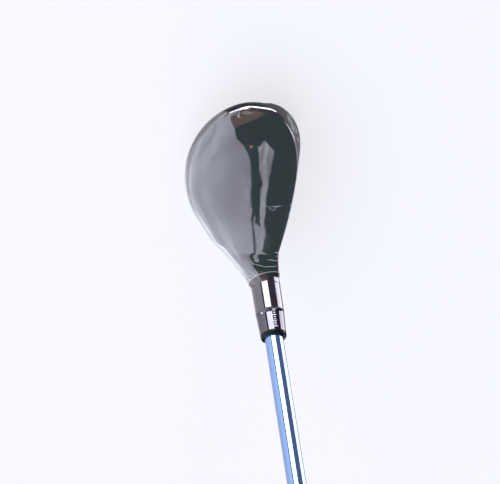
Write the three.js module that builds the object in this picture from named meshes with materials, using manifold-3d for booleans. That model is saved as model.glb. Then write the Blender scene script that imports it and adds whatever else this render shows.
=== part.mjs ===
// Left-handed hybrid golf club with an adjustable hosel, at address on the ground.
// Millimetres, +Z up. X runs from heel to toe, Y from face to back.
// The origin is the centre of the flat patch of the sole that rests on the ground.

import * as THREE from 'three';
import { mergeVertices } from 'three/addons/utils/BufferGeometryUtils.js';
import Module from 'manifold-3d';

const wasm = await Module();
wasm.setup();

// ---------------------------------------------------------------- driving dimensions

const LIE = THREE.MathUtils.degToRad(59);
const LOFT = THREE.MathUtils.degToRad(20);

// Head outline seen from above
const FRONT_Y = -18;            // leading edge at the middle of the face
const FACE_BULGE_RADIUS = 250;  // heel-to-toe curvature of the face
const TOE_X = 49.5;
const TOE_Y = 19;
const TOE_ROUND_X = 15;         // the toe starts to round off here
const BACK_X = 13;              // furthest point of the back
const BACK_Y = 45.5;
const HEEL_X = -26;             // the head starts to bend into the neck here
const HEEL_BACK_Y = 29;
const HEEL_POWER = 2.0;
const BACK_TOE_POWER = 1.95;
const FACE_TOE_POWER = 2.5;

// Head heights
const TOPLINE_Z = 35;
const TOPLINE_TILT = 0.06;
const TOPLINE_SAG = 0.0006;
const TOE_Z = 19;
const LEAD_Z = 2.5;
const SKIRT_Z = 13;
const SKIRT_RISE = 0.33;        // the skirt line rises this much per mm towards the face
const PATCH_HALF_X = 9;         // flat patch of the sole
const PATCH_HALF_Y = 4;
const CAMBER_RADIUS = 180;

// Neck and hosel
const HOSEL_Y = -1.5;
const NECK_FILLET = 14;
const NECK_RADIUS = 7.5;
const SEAM_RADIUS = 7.3;
const HOSEL_LENGTH = 14.5;      // from the end of the bend to the sleeve's shoulder
const BLEND_START_X = -9;
const BLEND_AT_BEND = 0.08;
const BLEND_POWER = 1.7;
const HEEL_SOLE_Z = 1.8;        // underside of the head where the bend starts
const HEEL_CORNER_POWER = 20;   // sharpness of the corner under the heel

// Walls and clearances
const WALL = 1.7;
const FACE_THICKNESS = 2.4;
const GAP = 0.3;
const THIN_GAP = 0.12;
const FILM = 0.3;
const FILM_NECK_EDGE = -5.2;    // where the film ends on the shaft axis, and its slant
const FILM_NECK_SLANT = THREE.MathUtils.degToRad(11);
const FILM_OPENING = { x: -3, y: 14, halfX: 36, halfY: 26 };  // open patch under the sole

// Crown and face panels
const PANEL_INSET = 3.5;        // from the topline and the leading edge
const PANEL_HEEL_X = -19;
const FACE_PANEL_TOE_X = 41;
const FACE_PANEL_CORNER = 0.35;

// Hosel fittings, measured along the shaft axis from the end of the bend
const ROUND = 24;               // facets of every round piece on the shaft axis
const SCREW_SEAT = -33;
const SCREW_HEAD_RADIUS = 4.1;
const SCREW_HEAD_HEIGHT = 3.2;
const SCREW_RADIUS = 2.5;
const SCREW_TIP = -4.5;
const SCREW_HOLE_RADIUS = 3.1;
const SCREW_POCKET_RADIUS = 4.9;
const SCREW_SOCKET_RADIUS = 2.2;
const SCREW_SOCKET_DEPTH = 2.4;
const WASHER_THICKNESS = 0.6;
const BORE_RADIUS = 5.9;
const BORE_BOTTOM = -13.5;
const SLEEVE_BOTTOM = -11.5;
const SLEEVE_BODY_RADIUS = 5.6;
const SLEEVE_FLOOR = -3.2;      // the shaft's tip stands above this floor of the sleeve
const SLEEVE_THREAD_RADIUS = 3.9;
const INSERT_RADIUS = 3.6;
const SPLINE_TEETH = 12;
const SPLINE_RADIUS = 6.15;
const SPLINE_BOTTOM = 8.5;
const SPLINE_HEIGHT = 4;
const SPLINE_TOOTH_WIDTH = 1.4;
const SPLINE_SLOT_WIDTH = 2.0;
const SPLINE_ROOT_RADIUS = 5.2;
const RING_THICKNESS = 0.3;
const FERRULE_START = 27.1;
const FERRULE_END = 28.7;
const FERRULE_RADIUS = 6.55;
const FERRULE_CHAMFER = 0.5;

// Shaft and grip
const TIP_RADIUS = 4.7;
const BUTT_RADIUS = 7.6;
const SHAFT_BORE_TIP = 2.6;
const SHAFT_BORE_BUTT = 6.5;
const SHAFT_START = -2.5;
const TAPER_START = 110;
const BUTT_START = 700;
const SHAFT_END = 974;
const GRIP_START = 708;
const GRIP_END = 975;
const CLUB_END = 978;
const GRIP_MOUTH_RADIUS = 9.4;
const GRIP_BUTT_RADIUS = 13.3;
const GRIP_INNER_RADIUS = 8.4;
const TAPE_START = 709;
const TAPE_END = 973;
const TAPE_THICKNESS = 0.3;
const VENT_RADIUS = 1.2;
const PLUG_RADIUS = 2.2;
const PLUG_START = -2;
const PLUG_END = 9;

// Sole weight
const WEIGHT_X = 9;
const WEIGHT_Y = 28;
const WEIGHT_TILT = THREE.MathUtils.degToRad(14);
const WEIGHT_RADIUS = 6.5;
const WEIGHT_HEIGHT = 6;
const WEIGHT_SINK = 0.8;        // below the sole
const WEIGHT_SOCKET_RADIUS = 2.6;
const WEIGHT_SOCKET_DEPTH = 3;
const BUSHING_RADIUS = 9;
const BUSHING_HEIGHT = 9;
const BUSHING_SINK = 0.6;
const BUSHING_FLOOR = 1.2;
const BUSHING_HOLE_RADIUS = 2.5;

// ---------------------------------------------------------------- solids and cuts

function toSolid(geometry) {
  const bare = geometry.clone();
  bare.deleteAttribute('normal');
  bare.deleteAttribute('uv');
  const merged = mergeVertices(bare, 1e-4);
  return new wasm.Manifold(new wasm.Mesh({
    numProp: 3,
    vertProperties: new Float32Array(merged.attributes.position.array),
    triVerts: new Uint32Array(merged.index.array),
  }));
}

function toGeometry(solid) {
  const mesh = solid.getMesh();
  const geometry = new THREE.BufferGeometry();
  geometry.setAttribute('position', new THREE.BufferAttribute(mesh.vertProperties, 3));
  geometry.setIndex(new THREE.BufferAttribute(mesh.triVerts, 1));
  geometry.computeVertexNormals();
  return geometry;
}

function placedSolid(geometry, matrix) {
  return toSolid(geometry.clone().applyMatrix4(matrix));
}

// Solid of revolution about local Z from a closed [radius, height] profile.
function turned(profile, segments = ROUND) {
  const points = profile.map(([radius, height]) => new THREE.Vector2(radius, height));
  points.push(points[0].clone());
  const geometry = new THREE.LatheGeometry(points, segments);
  geometry.rotateX(Math.PI / 2);
  return geometry;
}

function ringGeometry(inner, outer, low, high, segments = ROUND) {
  return turned([[inner, low], [outer, low], [outer, high], [inner, high]], segments);
}

function rodGeometry(radius, low, high, segments = ROUND) {
  return turned([[0, low], [radius, low], [radius, high], [0, high]], segments);
}

// Upright prism over a closed outline of [x, y] points.
function prism(outline, low, high) {
  const shape = new THREE.Shape(outline.map(([x, y]) => new THREE.Vector2(x, y)));
  const geometry = new THREE.ExtrudeGeometry(shape, { depth: high - low, bevelEnabled: false });
  geometry.translate(0, 0, low);
  return geometry;
}

// ---------------------------------------------------------------- head surface

const clamp01 = (value) => Math.min(1, Math.max(0, value));
const smooth = (value) => clamp01(value) ** 2 * (3 - 2 * clamp01(value));
const mix = (from, to, amount) => from + (to - from) * amount;
const faceY = (x, z) => FRONT_Y + z * Math.tan(LOFT) + (x * x) / (2 * FACE_BULGE_RADIUS);

// Corner points of the head's section at x: [y, z] of topline, leading edge, sole and skirt.
function headSection(x) {
  const toe = clamp01((x - TOE_ROUND_X) / (TOE_X - TOE_ROUND_X));
  const height = Math.sqrt(Math.max(0, 1 - toe ** 2));
  const depth = Math.max(0, 1 - toe ** FACE_TOE_POWER) ** (1 / FACE_TOE_POWER);
  const toplineZ = TOPLINE_Z + TOPLINE_TILT * x - TOPLINE_SAG * x * x;
  const topZ = mix(TOE_Z, toplineZ, height);
  const leadZ = mix(TOE_Z, LEAD_Z, height);
  const camber = Math.max(0, Math.abs(x) - PATCH_HALF_X) ** 2 / (2 * CAMBER_RADIUS);
  const soleZ = mix(TOE_Z, camber, height);
  let backY;
  if (x > BACK_X) {
    const towardsToe = clamp01((x - BACK_X) / (TOE_X - BACK_X));
    backY = mix(TOE_Y, BACK_Y, Math.max(0, 1 - towardsToe ** BACK_TOE_POWER) ** (1 / BACK_TOE_POWER));
  } else {
    backY = mix(BACK_Y, HEEL_BACK_Y, ((BACK_X - x) / (BACK_X - HEEL_X)) ** HEEL_POWER);
  }
  const skirtZ = mix(TOE_Z, SKIRT_Z + SKIRT_RISE * (BACK_Y - backY), height);
  return {
    top: [mix(TOE_Y, faceY(x, topZ), depth), topZ],
    lead: [mix(TOE_Y, faceY(x, leadZ), depth), leadZ],
    soleFront: [mix(TOE_Y, -PATCH_HALF_Y, depth), soleZ],
    soleBack: [mix(TOE_Y, PATCH_HALF_Y, depth), soleZ],
    skirt: [backY, skirtZ],
  };
}

const SPANS = [
  { steps: 4, from: 140, to: 220 },  // face, topline to leading edge
  { steps: 4, from: 220, to: 265 },  // leading edge round to the sole
  { steps: 1, from: 265, to: 280 },  // flat of the sole
  { steps: 9, from: 280, to: 360 },  // sole up to the skirt
  { steps: 12, from: 0, to: 140 },   // crown, skirt to topline
];

// One closed [y, z] curve round the section, in the order of SPANS.
function sectionCurve({ top, lead, soleFront, soleBack, skirt }) {
  const sine = (t) => Math.sin((t * Math.PI) / 2);
  const cosine = (t) => Math.cos((t * Math.PI) / 2);
  const rules = [
    (t) => [mix(top[0], lead[0], t), mix(top[1], lead[1], t)],
    (t) => [mix(soleFront[0], lead[0], cosine(t)), mix(lead[1], soleFront[1], sine(t))],
    (t) => [mix(soleFront[0], soleBack[0], t), soleFront[1]],
    (t) => [mix(soleBack[0], skirt[0], sine(t)), mix(skirt[1], soleBack[1], cosine(t))],
    (t) => [mix(top[0], skirt[0], cosine(t)), mix(skirt[1], top[1], sine(t))],
  ];
  const curve = [];
  SPANS.forEach(({ steps }, span) => {
    for (let step = 0; step < steps; step += 1) {
      curve.push(rules[span](step / steps));
    }
  });
  return curve;
}

// The round section of the neck with its points at matching places.
function roundCurve(centreY, centreZ, radius) {
  const curve = [];
  SPANS.forEach(({ steps, from, to }) => {
    for (let step = 0; step < steps; step += 1) {
      const angle = THREE.MathUtils.degToRad(mix(from, to, step / steps));
      curve.push([centreY + radius * Math.cos(angle), centreZ + radius * Math.sin(angle)]);
    }
  });
  return curve;
}

const mixCurves = (first, second, amount) => first.map(
  ([y, z], index) => [mix(y, second[index][0], amount), mix(z, second[index][1], amount)],
);

// The neck bends about a line through (HEEL_X, PIVOT_Z) that runs front to back.
const PIVOT_Z = TOPLINE_Z + TOPLINE_TILT * HEEL_X - TOPLINE_SAG * HEEL_X ** 2 + NECK_FILLET;
const AXIS_DISTANCE = NECK_FILLET + NECK_RADIUS;
const BEND_STEPS = 8;
const HOSEL_ORIGIN = new THREE.Vector3(
  HEEL_X - Math.sin(LIE) * AXIS_DISTANCE,
  HOSEL_Y,
  PIVOT_Z - Math.cos(LIE) * AXIS_DISTANCE,
);
const HOSEL_MATRIX = new THREE.Matrix4()
  .makeRotationY(LIE - Math.PI / 2)
  .setPosition(HOSEL_ORIGIN);

// Distance of the heel's underside from the bend line: the sole runs on level until it meets
// the line of the hosel's outer side, with a rounded corner between them.
function heelReach(bend) {
  const level = (PIVOT_Z - HEEL_SOLE_Z) / Math.cos(bend);
  const hosel = (AXIS_DISTANCE + NECK_RADIUS) / Math.cos(LIE - bend);
  return (level ** -HEEL_CORNER_POWER + hosel ** -HEEL_CORNER_POWER) ** (-1 / HEEL_CORNER_POWER);
}

// Stretches the half of a bend section below the hosel axis to the heel's reach.
function fullHeel(curve, bend) {
  const lowest = PIVOT_Z - Math.min(...curve.map(([, z]) => z));
  const stretch = (heelReach(bend) - AXIS_DISTANCE) / (lowest - AXIS_DISTANCE);
  return curve.map(([y, z]) => {
    const below = PIVOT_Z - AXIS_DISTANCE - z;
    return below > 0 ? [y, z + below * (1 - stretch)] : [y, z];
  });
}

// Rings of points round the head from toe to hosel seam, the first one a single point.
function headRings() {
  const stations = [];
  for (let step = 1; step < 8; step += 1) {
    stations.push(mix(TOE_ROUND_X, TOE_X, Math.cos((step / 8) * (Math.PI / 2))));
  }
  stations.push(TOE_ROUND_X, PATCH_HALF_X, 0, -PATCH_HALF_X, -14, -18, -22, HEEL_X);
  const rings = [[new THREE.Vector3(TOE_X, TOE_Y, TOE_Z)]];
  const neck = roundCurve(HOSEL_Y, PIVOT_Z - AXIS_DISTANCE, NECK_RADIUS);
  stations.forEach((x) => {
    const amount = BLEND_AT_BEND * smooth((BLEND_START_X - x) / (BLEND_START_X - HEEL_X));
    const curve = mixCurves(sectionCurve(headSection(x)), neck, amount);
    rings.push(curve.map(([y, z]) => new THREE.Vector3(x, y, z)));
  });
  const lastSection = sectionCurve(headSection(HEEL_X));
  for (let step = 1; step <= BEND_STEPS; step += 1) {
    const bend = LIE * (step / BEND_STEPS);
    const amount = mix(BLEND_AT_BEND, 1, 1 - (1 - step / BEND_STEPS) ** BLEND_POWER);
    const curve = fullHeel(mixCurves(lastSection, neck, amount), bend);
    rings.push(curve.map(([y, z]) => new THREE.Vector3(
      HEEL_X + Math.sin(bend) * (z - PIVOT_Z),
      y,
      PIVOT_Z + Math.cos(bend) * (z - PIVOT_Z),
    )));
  }
  const seam = roundCurve(0, 0, SEAM_RADIUS);
  rings.push(seam.map(([y, z]) => new THREE.Vector3(z, y, HOSEL_LENGTH).applyMatrix4(HOSEL_MATRIX)));
  return rings;
}

const RINGS = headRings();
const BEND_RING = RINGS.length - 1 - BEND_STEPS;

// Outward direction at a point of the ring grid.
function ringNormal(row, column) {
  const count = RINGS[1].length;
  if (row === 0) {
    return new THREE.Vector3(1, 0, 0);
  }
  const pick = (r, c) => (r === 0 ? RINGS[0][0] : RINGS[r][(c + count) % count]);
  const along = pick(Math.min(row + 1, RINGS.length - 1), column).clone().sub(pick(row - 1, column));
  const around = pick(row, column + 1).clone().sub(pick(row, column - 1));
  return along.cross(around).normalize();
}

// Closed solid inside the head surface moved outwards by offset, up to the given ring.
function headGeometry(offset, lastRing = RINGS.length - 1) {
  const count = RINGS[1].length;
  const positions = [];
  const indices = [];
  for (let row = 0; row <= lastRing; row += 1) {
    RINGS[row].forEach((point, column) => {
      const moved = point.clone().addScaledVector(ringNormal(row, column), offset);
      positions.push(moved.x, moved.y, moved.z);
    });
  }
  const at = (row, column) => (row === 0 ? 0 : 1 + (row - 1) * count + (column % count));
  for (let column = 0; column < count; column += 1) {
    indices.push(0, at(1, column), at(1, column + 1));
    for (let row = 1; row < lastRing; row += 1) {
      indices.push(at(row, column), at(row + 1, column), at(row + 1, column + 1));
      indices.push(at(row, column), at(row + 1, column + 1), at(row, column + 1));
    }
  }
  const centre = new THREE.Vector3();
  for (let column = 0; column < count; column += 1) {
    centre.add(new THREE.Vector3().fromArray(positions, 3 * at(lastRing, column)));
  }
  centre.divideScalar(count);
  positions.push(centre.x, centre.y, centre.z);
  const last = positions.length / 3 - 1;
  for (let column = 0; column < count; column += 1) {
    indices.push(last, at(lastRing, column + 1), at(lastRing, column));
  }
  const geometry = new THREE.BufferGeometry();
  geometry.setAttribute('position', new THREE.Float32BufferAttribute(positions, 3));
  geometry.setIndex(indices);
  return geometry;
}

// ---------------------------------------------------------------- head pieces

const outerHead = toSolid(headGeometry(0));
const FAR = 200;

// Everything above the tilted skirt plane, raised by lift.
function aboveSkirtPlane(lift) {
  const box = new THREE.BoxGeometry(FAR, FAR, FAR);
  box.translate(0, 0, FAR / 2);
  box.rotateX(-Math.atan(SKIRT_RISE));
  box.translate(0, BACK_Y, SKIRT_Z + lift);
  return toSolid(box);
}

// Region that the crown fills, grown by margin on every side.
function crownRegion(margin) {
  const outline = [];
  for (let x = PANEL_HEEL_X; x <= TOE_X; x += 5) {
    outline.push([x - margin, headSection(x).top[0] + PANEL_INSET - margin]);
  }
  outline.push([FAR, TOE_Y], [FAR, FAR], [PANEL_HEEL_X - margin, FAR]);
  return toSolid(prism(outline, -FAR, FAR)).intersect(aboveSkirtPlane(-margin));
}

// Opening of the face, inset from the topline and the leading edge.
function faceRegion(inset) {
  const lean = Math.cos(LOFT);
  const steps = 12;
  const cornerSteps = 2;
  const upper = [];
  const lower = [];
  for (let step = 0; step <= steps; step += 1) {
    const x = mix(PANEL_HEEL_X + inset, FACE_PANEL_TOE_X - inset, step / steps);
    const section = headSection(x);
    const end = Math.min(1, step / cornerSteps, (steps - step) / cornerSteps);
    const middle = (section.top[1] + section.lead[1]) / 2;
    const half = ((section.top[1] - section.lead[1]) / 2 - inset) * 0.98;
    upper.push([x, (middle + half * end ** FACE_PANEL_CORNER) / lean]);
    lower.push([x, (middle - half * end ** FACE_PANEL_CORNER) / lean]);
  }
  const outline = [...lower, ...upper.reverse()];
  const geometry = prism(outline, -4.5, 30);
  geometry.applyMatrix4(new THREE.Matrix4().makeBasis(
    new THREE.Vector3(1, 0, 0),
    new THREE.Vector3(0, Math.sin(LOFT), Math.cos(LOFT)),
    new THREE.Vector3(0, -Math.cos(LOFT), Math.sin(LOFT)),
  ));
  geometry.translate(0, FRONT_Y, 0);
  return toSolid(geometry);
}

const WEIGHT_MATRIX = new THREE.Matrix4()
  .makeRotationX(WEIGHT_TILT)
  .setPosition(WEIGHT_X, WEIGHT_Y, soleHeight(WEIGHT_X, WEIGHT_Y));

function soleHeight(x, y) {
  const { soleBack, skirt } = headSection(x);
  const sine = (y - soleBack[0]) / (skirt[0] - soleBack[0]);
  return mix(skirt[1], soleBack[1], Math.sqrt(1 - sine * sine));
}

function hollowHead() {
  const hoselTube = placedSolid(rodGeometry(8, -60, 5), HOSEL_MATRIX);
  const cavity = toSolid(headGeometry(-WALL, BEND_RING + 4)).subtract(hoselTube);
  const bore = placedSolid(rodGeometry(BORE_RADIUS, BORE_BOTTOM, 40), HOSEL_MATRIX);
  const hole = rodGeometry(SCREW_HOLE_RADIUS, SCREW_SEAT - 1, BORE_BOTTOM + 1);
  const screwHole = placedSolid(hole, HOSEL_MATRIX);
  const screwPocket = placedSolid(rodGeometry(SCREW_POCKET_RADIUS, -70, SCREW_SEAT), HOSEL_MATRIX);
  const weightHole = placedSolid(rodGeometry(BUSHING_RADIUS + GAP, -10, 6), WEIGHT_MATRIX);
  let solid = outerHead.subtract(cavity).subtract(bore).subtract(screwHole);
  solid = solid.subtract(screwPocket).subtract(weightHole);
  return solid;
}

function splineCutters() {
  const cutters = [];
  for (let tooth = 0; tooth < SPLINE_TEETH; tooth += 1) {
    const slot = new THREE.BoxGeometry(SPLINE_RADIUS + GAP, SPLINE_SLOT_WIDTH, 20);
    slot.translate((SPLINE_RADIUS + GAP) / 2, 0, SPLINE_BOTTOM - GAP + 10);
    slot.rotateZ((tooth * 2 * Math.PI) / SPLINE_TEETH);
    cutters.push(placedSolid(slot, HOSEL_MATRIX));
  }
  return cutters;
}

const shell = hollowHead();

function headBody() {
  let solid = shell.subtract(crownRegion(GAP / 2)).subtract(faceRegion(PANEL_INSET - GAP / 2));
  splineCutters().forEach((cutter) => {
    solid = solid.subtract(cutter);
  });
  return toGeometry(solid);
}

function crown() {
  return toGeometry(shell.intersect(crownRegion(-GAP / 2)));
}

function facePlate() {
  const inwards = [0, Math.cos(LOFT) * FACE_THICKNESS, -Math.sin(LOFT) * FACE_THICKNESS];
  const behind = outerHead.translate(inwards);
  return toGeometry(outerHead.intersect(faceRegion(PANEL_INSET + GAP / 2)).subtract(behind));
}

// Clear film over the head, open round the neck and under the sole.
function shrinkFilm() {
  const cover = toSolid(headGeometry(GAP + FILM)).subtract(toSolid(headGeometry(GAP)));
  const neckCut = new THREE.BoxGeometry(FAR, FAR, FAR);
  neckCut.translate(0, 0, FAR / 2);
  neckCut.rotateX(FILM_NECK_SLANT);
  neckCut.translate(0, 0, FILM_NECK_EDGE);
  const { x, y, halfX, halfY } = FILM_OPENING;
  const steps = 36;
  const outline = [];
  for (let step = 0; step < steps; step += 1) {
    const angle = (step / steps) * 2 * Math.PI;
    outline.push([x + halfX * Math.cos(angle), y + halfY * Math.sin(angle)]);
  }
  const opening = toSolid(prism(outline, -20, 10));
  return toGeometry(cover.subtract(placedSolid(neckCut, HOSEL_MATRIX)).subtract(opening));
}

// ---------------------------------------------------------------- hosel fittings

const SLEEVE_SHOULDER = HOSEL_LENGTH + RING_THICKNESS + 2 * THIN_GAP;

// Radius of the taper that runs from the hosel's seam to the end of the ferrule.
function taperRadius(height) {
  return mix(SEAM_RADIUS, FERRULE_RADIUS, (height - HOSEL_LENGTH) / (FERRULE_END - HOSEL_LENGTH));
}

function adapterSleeve() {
  const bore = TIP_RADIUS + GAP;
  const chamfer = 0.25;
  let solid = toSolid(turned([
    [SLEEVE_THREAD_RADIUS, SLEEVE_BOTTOM],
    [SLEEVE_BODY_RADIUS, SLEEVE_BOTTOM],
    [SLEEVE_BODY_RADIUS, SLEEVE_SHOULDER],
    [SEAM_RADIUS - chamfer, SLEEVE_SHOULDER],
    [SEAM_RADIUS, SLEEVE_SHOULDER + chamfer],
    [taperRadius(FERRULE_START), FERRULE_START - THIN_GAP],
    [bore, FERRULE_START - THIN_GAP],
    [bore, SLEEVE_FLOOR],
    [SLEEVE_THREAD_RADIUS, SLEEVE_FLOOR],
  ]));
  const toothLength = SPLINE_RADIUS - SPLINE_ROOT_RADIUS;
  for (let tooth = 0; tooth < SPLINE_TEETH; tooth += 1) {
    const block = new THREE.BoxGeometry(toothLength, SPLINE_TOOTH_WIDTH, SPLINE_HEIGHT);
    block.translate(SPLINE_ROOT_RADIUS + toothLength / 2, 0, SPLINE_BOTTOM + SPLINE_HEIGHT / 2);
    block.rotateZ((tooth * 2 * Math.PI) / SPLINE_TEETH);
    solid = solid.add(toSolid(block));
  }
  return toGeometry(solid);
}

function sleeveInsert() {
  return ringGeometry(SCREW_RADIUS + GAP, INSERT_RADIUS, SLEEVE_BOTTOM + 0.2, SLEEVE_FLOOR - 0.2);
}

// Six-sided driver socket cut into the end of a rod.
function socketCut(radius, low, high) {
  return toSolid(rodGeometry(radius, low, high, 6));
}

function hoselScrew() {
  const top = SCREW_SEAT - 2 * WASHER_THICKNESS;
  const bottom = top - SCREW_HEAD_HEIGHT;
  const solid = toSolid(turned([
    [0, bottom],
    [SCREW_HEAD_RADIUS - 0.4, bottom],
    [SCREW_HEAD_RADIUS, bottom + 0.4],
    [SCREW_HEAD_RADIUS, top],
    [SCREW_RADIUS, top],
    [SCREW_RADIUS, SCREW_TIP - 0.6],
    [SCREW_RADIUS - 0.6, SCREW_TIP],
    [0, SCREW_TIP],
  ]));
  const socket = socketCut(SCREW_SOCKET_RADIUS, bottom - 1, bottom + SCREW_SOCKET_DEPTH);
  return toGeometry(solid.subtract(socket));
}

function ferrule() {
  const inner = TIP_RADIUS + GAP;
  return turned([
    [inner, FERRULE_START],
    [taperRadius(FERRULE_START), FERRULE_START],
    [FERRULE_RADIUS, FERRULE_END - FERRULE_CHAMFER],
    [FERRULE_RADIUS - FERRULE_CHAMFER, FERRULE_END],
    [inner, FERRULE_END],
  ]);
}

// ---------------------------------------------------------------- shaft and grip

function shaft() {
  return turned([
    [SHAFT_BORE_TIP, SHAFT_START],
    [TIP_RADIUS, SHAFT_START],
    [TIP_RADIUS, TAPER_START],
    [BUTT_RADIUS, BUTT_START],
    [BUTT_RADIUS, SHAFT_END],
    [SHAFT_BORE_BUTT, SHAFT_END],
    [SHAFT_BORE_BUTT, BUTT_START],
    [SHAFT_BORE_TIP, TAPER_START],
  ]);
}

function grip() {
  return turned([
    [GRIP_INNER_RADIUS, GRIP_START],
    [GRIP_MOUTH_RADIUS - 0.5, GRIP_START],
    [GRIP_MOUTH_RADIUS, GRIP_START + 2],
    [mix(GRIP_MOUTH_RADIUS, GRIP_BUTT_RADIUS, 0.45), mix(GRIP_START, GRIP_END, 0.55)],
    [mix(GRIP_MOUTH_RADIUS, GRIP_BUTT_RADIUS, 0.8), mix(GRIP_START, GRIP_END, 0.93)],
    [GRIP_BUTT_RADIUS, GRIP_END - 5],
    [GRIP_BUTT_RADIUS, GRIP_END],
    [GRIP_INNER_RADIUS, GRIP_END],
  ]);
}

function gripCap() {
  return turned([
    [VENT_RADIUS, GRIP_END + GAP],
    [GRIP_BUTT_RADIUS, GRIP_END + GAP],
    [GRIP_BUTT_RADIUS - 0.8, CLUB_END - 0.8],
    [GRIP_BUTT_RADIUS - 2.2, CLUB_END],
    [VENT_RADIUS, CLUB_END],
  ]);
}

// ---------------------------------------------------------------- sole weight

function weightBushing() {
  const inner = WEIGHT_RADIUS + 0.4;
  return turned([
    [inner, BUSHING_SINK],
    [BUSHING_RADIUS, BUSHING_SINK],
    [BUSHING_RADIUS, BUSHING_HEIGHT],
    [BUSHING_HOLE_RADIUS, BUSHING_HEIGHT],
    [BUSHING_HOLE_RADIUS, BUSHING_HEIGHT - BUSHING_FLOOR],
    [inner, BUSHING_HEIGHT - BUSHING_FLOOR],
  ]);
}

function soleWeight() {
  const chamfer = 0.5;
  const solid = toSolid(turned([
    [0, WEIGHT_SINK],
    [WEIGHT_RADIUS - chamfer, WEIGHT_SINK],
    [WEIGHT_RADIUS, WEIGHT_SINK + chamfer],
    [WEIGHT_RADIUS, WEIGHT_SINK + WEIGHT_HEIGHT],
    [0, WEIGHT_SINK + WEIGHT_HEIGHT],
  ]));
  const socket = socketCut(WEIGHT_SOCKET_RADIUS, WEIGHT_SINK - 1, WEIGHT_SINK + WEIGHT_SOCKET_DEPTH);
  return toGeometry(solid.subtract(socket));
}

// ---------------------------------------------------------------- assembly

function piece(name, geometry, color, roughness, metalness) {
  const material = new THREE.MeshStandardMaterial({ color, roughness, metalness });
  const mesh = new THREE.Mesh(geometry, material);
  mesh.name = name;
  return mesh;
}

const headGroup = new THREE.Group();
headGroup.add(
  piece('head_body', headBody(), '#191a1d', 0.25, 0.9),
  piece('crown', crown(), '#0c0e10', 0.08, 0.1),
  piece('face_plate', facePlate(), '#3c3e42', 0.4, 1),
  piece('shrink_film', shrinkFilm(), '#eef2f6', 0.05, 0),
);

const hoselGroup = new THREE.Group();
hoselGroup.position.copy(HOSEL_ORIGIN);
hoselGroup.rotation.y = LIE - Math.PI / 2;
const washerHigh = SCREW_SEAT - GAP;
const washerLow = washerHigh - WASHER_THICKNESS;
const ringLow = HOSEL_LENGTH + THIN_GAP;
const tapeInner = BUTT_RADIUS + 0.2;
const tapeOuter = tapeInner + TAPE_THICKNESS;
hoselGroup.add(
  piece('hosel_screw', hoselScrew(), '#8e9196', 0.3, 1),
  piece('screw_washer', ringGeometry(SCREW_HOLE_RADIUS, 4.4, washerLow, washerHigh), '#8e9196', 0.35, 1),
  piece('screw_retainer', ringGeometry(2.8, 4.6, -13.2, -12.2), '#e8e6df', 0.5, 0),
  piece('hosel_ring', ringGeometry(6.2, 7.1, ringLow, ringLow + RING_THICKNESS), '#101114', 0.3, 0),
  piece('adapter_sleeve', adapterSleeve(), '#2a2b30', 0.1, 1),
  piece('sleeve_insert', sleeveInsert(), '#9b9ea3', 0.3, 1),
  piece('ferrule', ferrule(), '#0a0a0c', 0.15, 0),
  piece('shaft', shaft(), '#1c4f96', 0.1, 0.9),
  piece('tip_plug', rodGeometry(PLUG_RADIUS, PLUG_START, PLUG_END, 12), '#c9a26b', 0.9, 0),
  piece('grip_tape', ringGeometry(tapeInner, tapeOuter, TAPE_START, TAPE_END), '#d9cfae', 0.9, 0),
  piece('grip', grip(), '#141416', 0.8, 0),
  piece('grip_cap', gripCap(), '#141416', 0.7, 0),
);

const weightGroup = new THREE.Group();
weightGroup.position.setFromMatrixPosition(WEIGHT_MATRIX);
weightGroup.rotation.x = WEIGHT_TILT;
const weightTop = WEIGHT_SINK + WEIGHT_HEIGHT;
weightGroup.add(
  piece('weight_bushing', weightBushing(), '#3c3e42', 0.4, 1),
  piece('sole_weight', soleWeight(), '#7f8287', 0.35, 1),
  piece('weight_washer', ringGeometry(3.2, 6, weightTop + 0.2, weightTop + 0.8), '#17171a', 0.8, 0),
);

const club = new THREE.Group();
club.add(headGroup, hoselGroup, weightGroup);

export default club;
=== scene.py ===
import math

import bmesh
import bpy
import numpy as np
from bpy.props import FloatProperty, FloatVectorProperty, IntProperty, PointerProperty
from mathutils import Matrix, Vector
from mathutils.bvhtree import BVHTree
from mathutils.kdtree import KDTree


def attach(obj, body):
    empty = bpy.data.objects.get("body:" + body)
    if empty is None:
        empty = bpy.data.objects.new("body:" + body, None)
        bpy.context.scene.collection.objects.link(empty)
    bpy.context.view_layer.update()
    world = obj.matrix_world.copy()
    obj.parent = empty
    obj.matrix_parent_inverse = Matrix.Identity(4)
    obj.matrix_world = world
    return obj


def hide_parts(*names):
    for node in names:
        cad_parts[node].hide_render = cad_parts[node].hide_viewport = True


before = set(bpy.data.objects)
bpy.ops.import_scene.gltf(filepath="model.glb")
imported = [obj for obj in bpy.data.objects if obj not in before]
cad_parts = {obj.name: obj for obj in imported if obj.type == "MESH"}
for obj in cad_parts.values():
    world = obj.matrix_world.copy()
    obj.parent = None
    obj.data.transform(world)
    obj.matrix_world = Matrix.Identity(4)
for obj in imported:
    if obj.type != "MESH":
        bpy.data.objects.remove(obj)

bl_info = {
    "name": "Hybrid golf club",
    "version": (1, 0, 0),
    "blender": (4, 5, 0),
    "location": "3D View > Sidebar > Golf Club",
    "description": "Builds a left-handed hybrid golf club on its packed frame",
    "category": "Object",
}

# ------------------------------------------------------------------ sizes, in millimetres

MM = 0.001

LIE = math.radians(59)
LOFT = math.radians(20)

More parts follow.
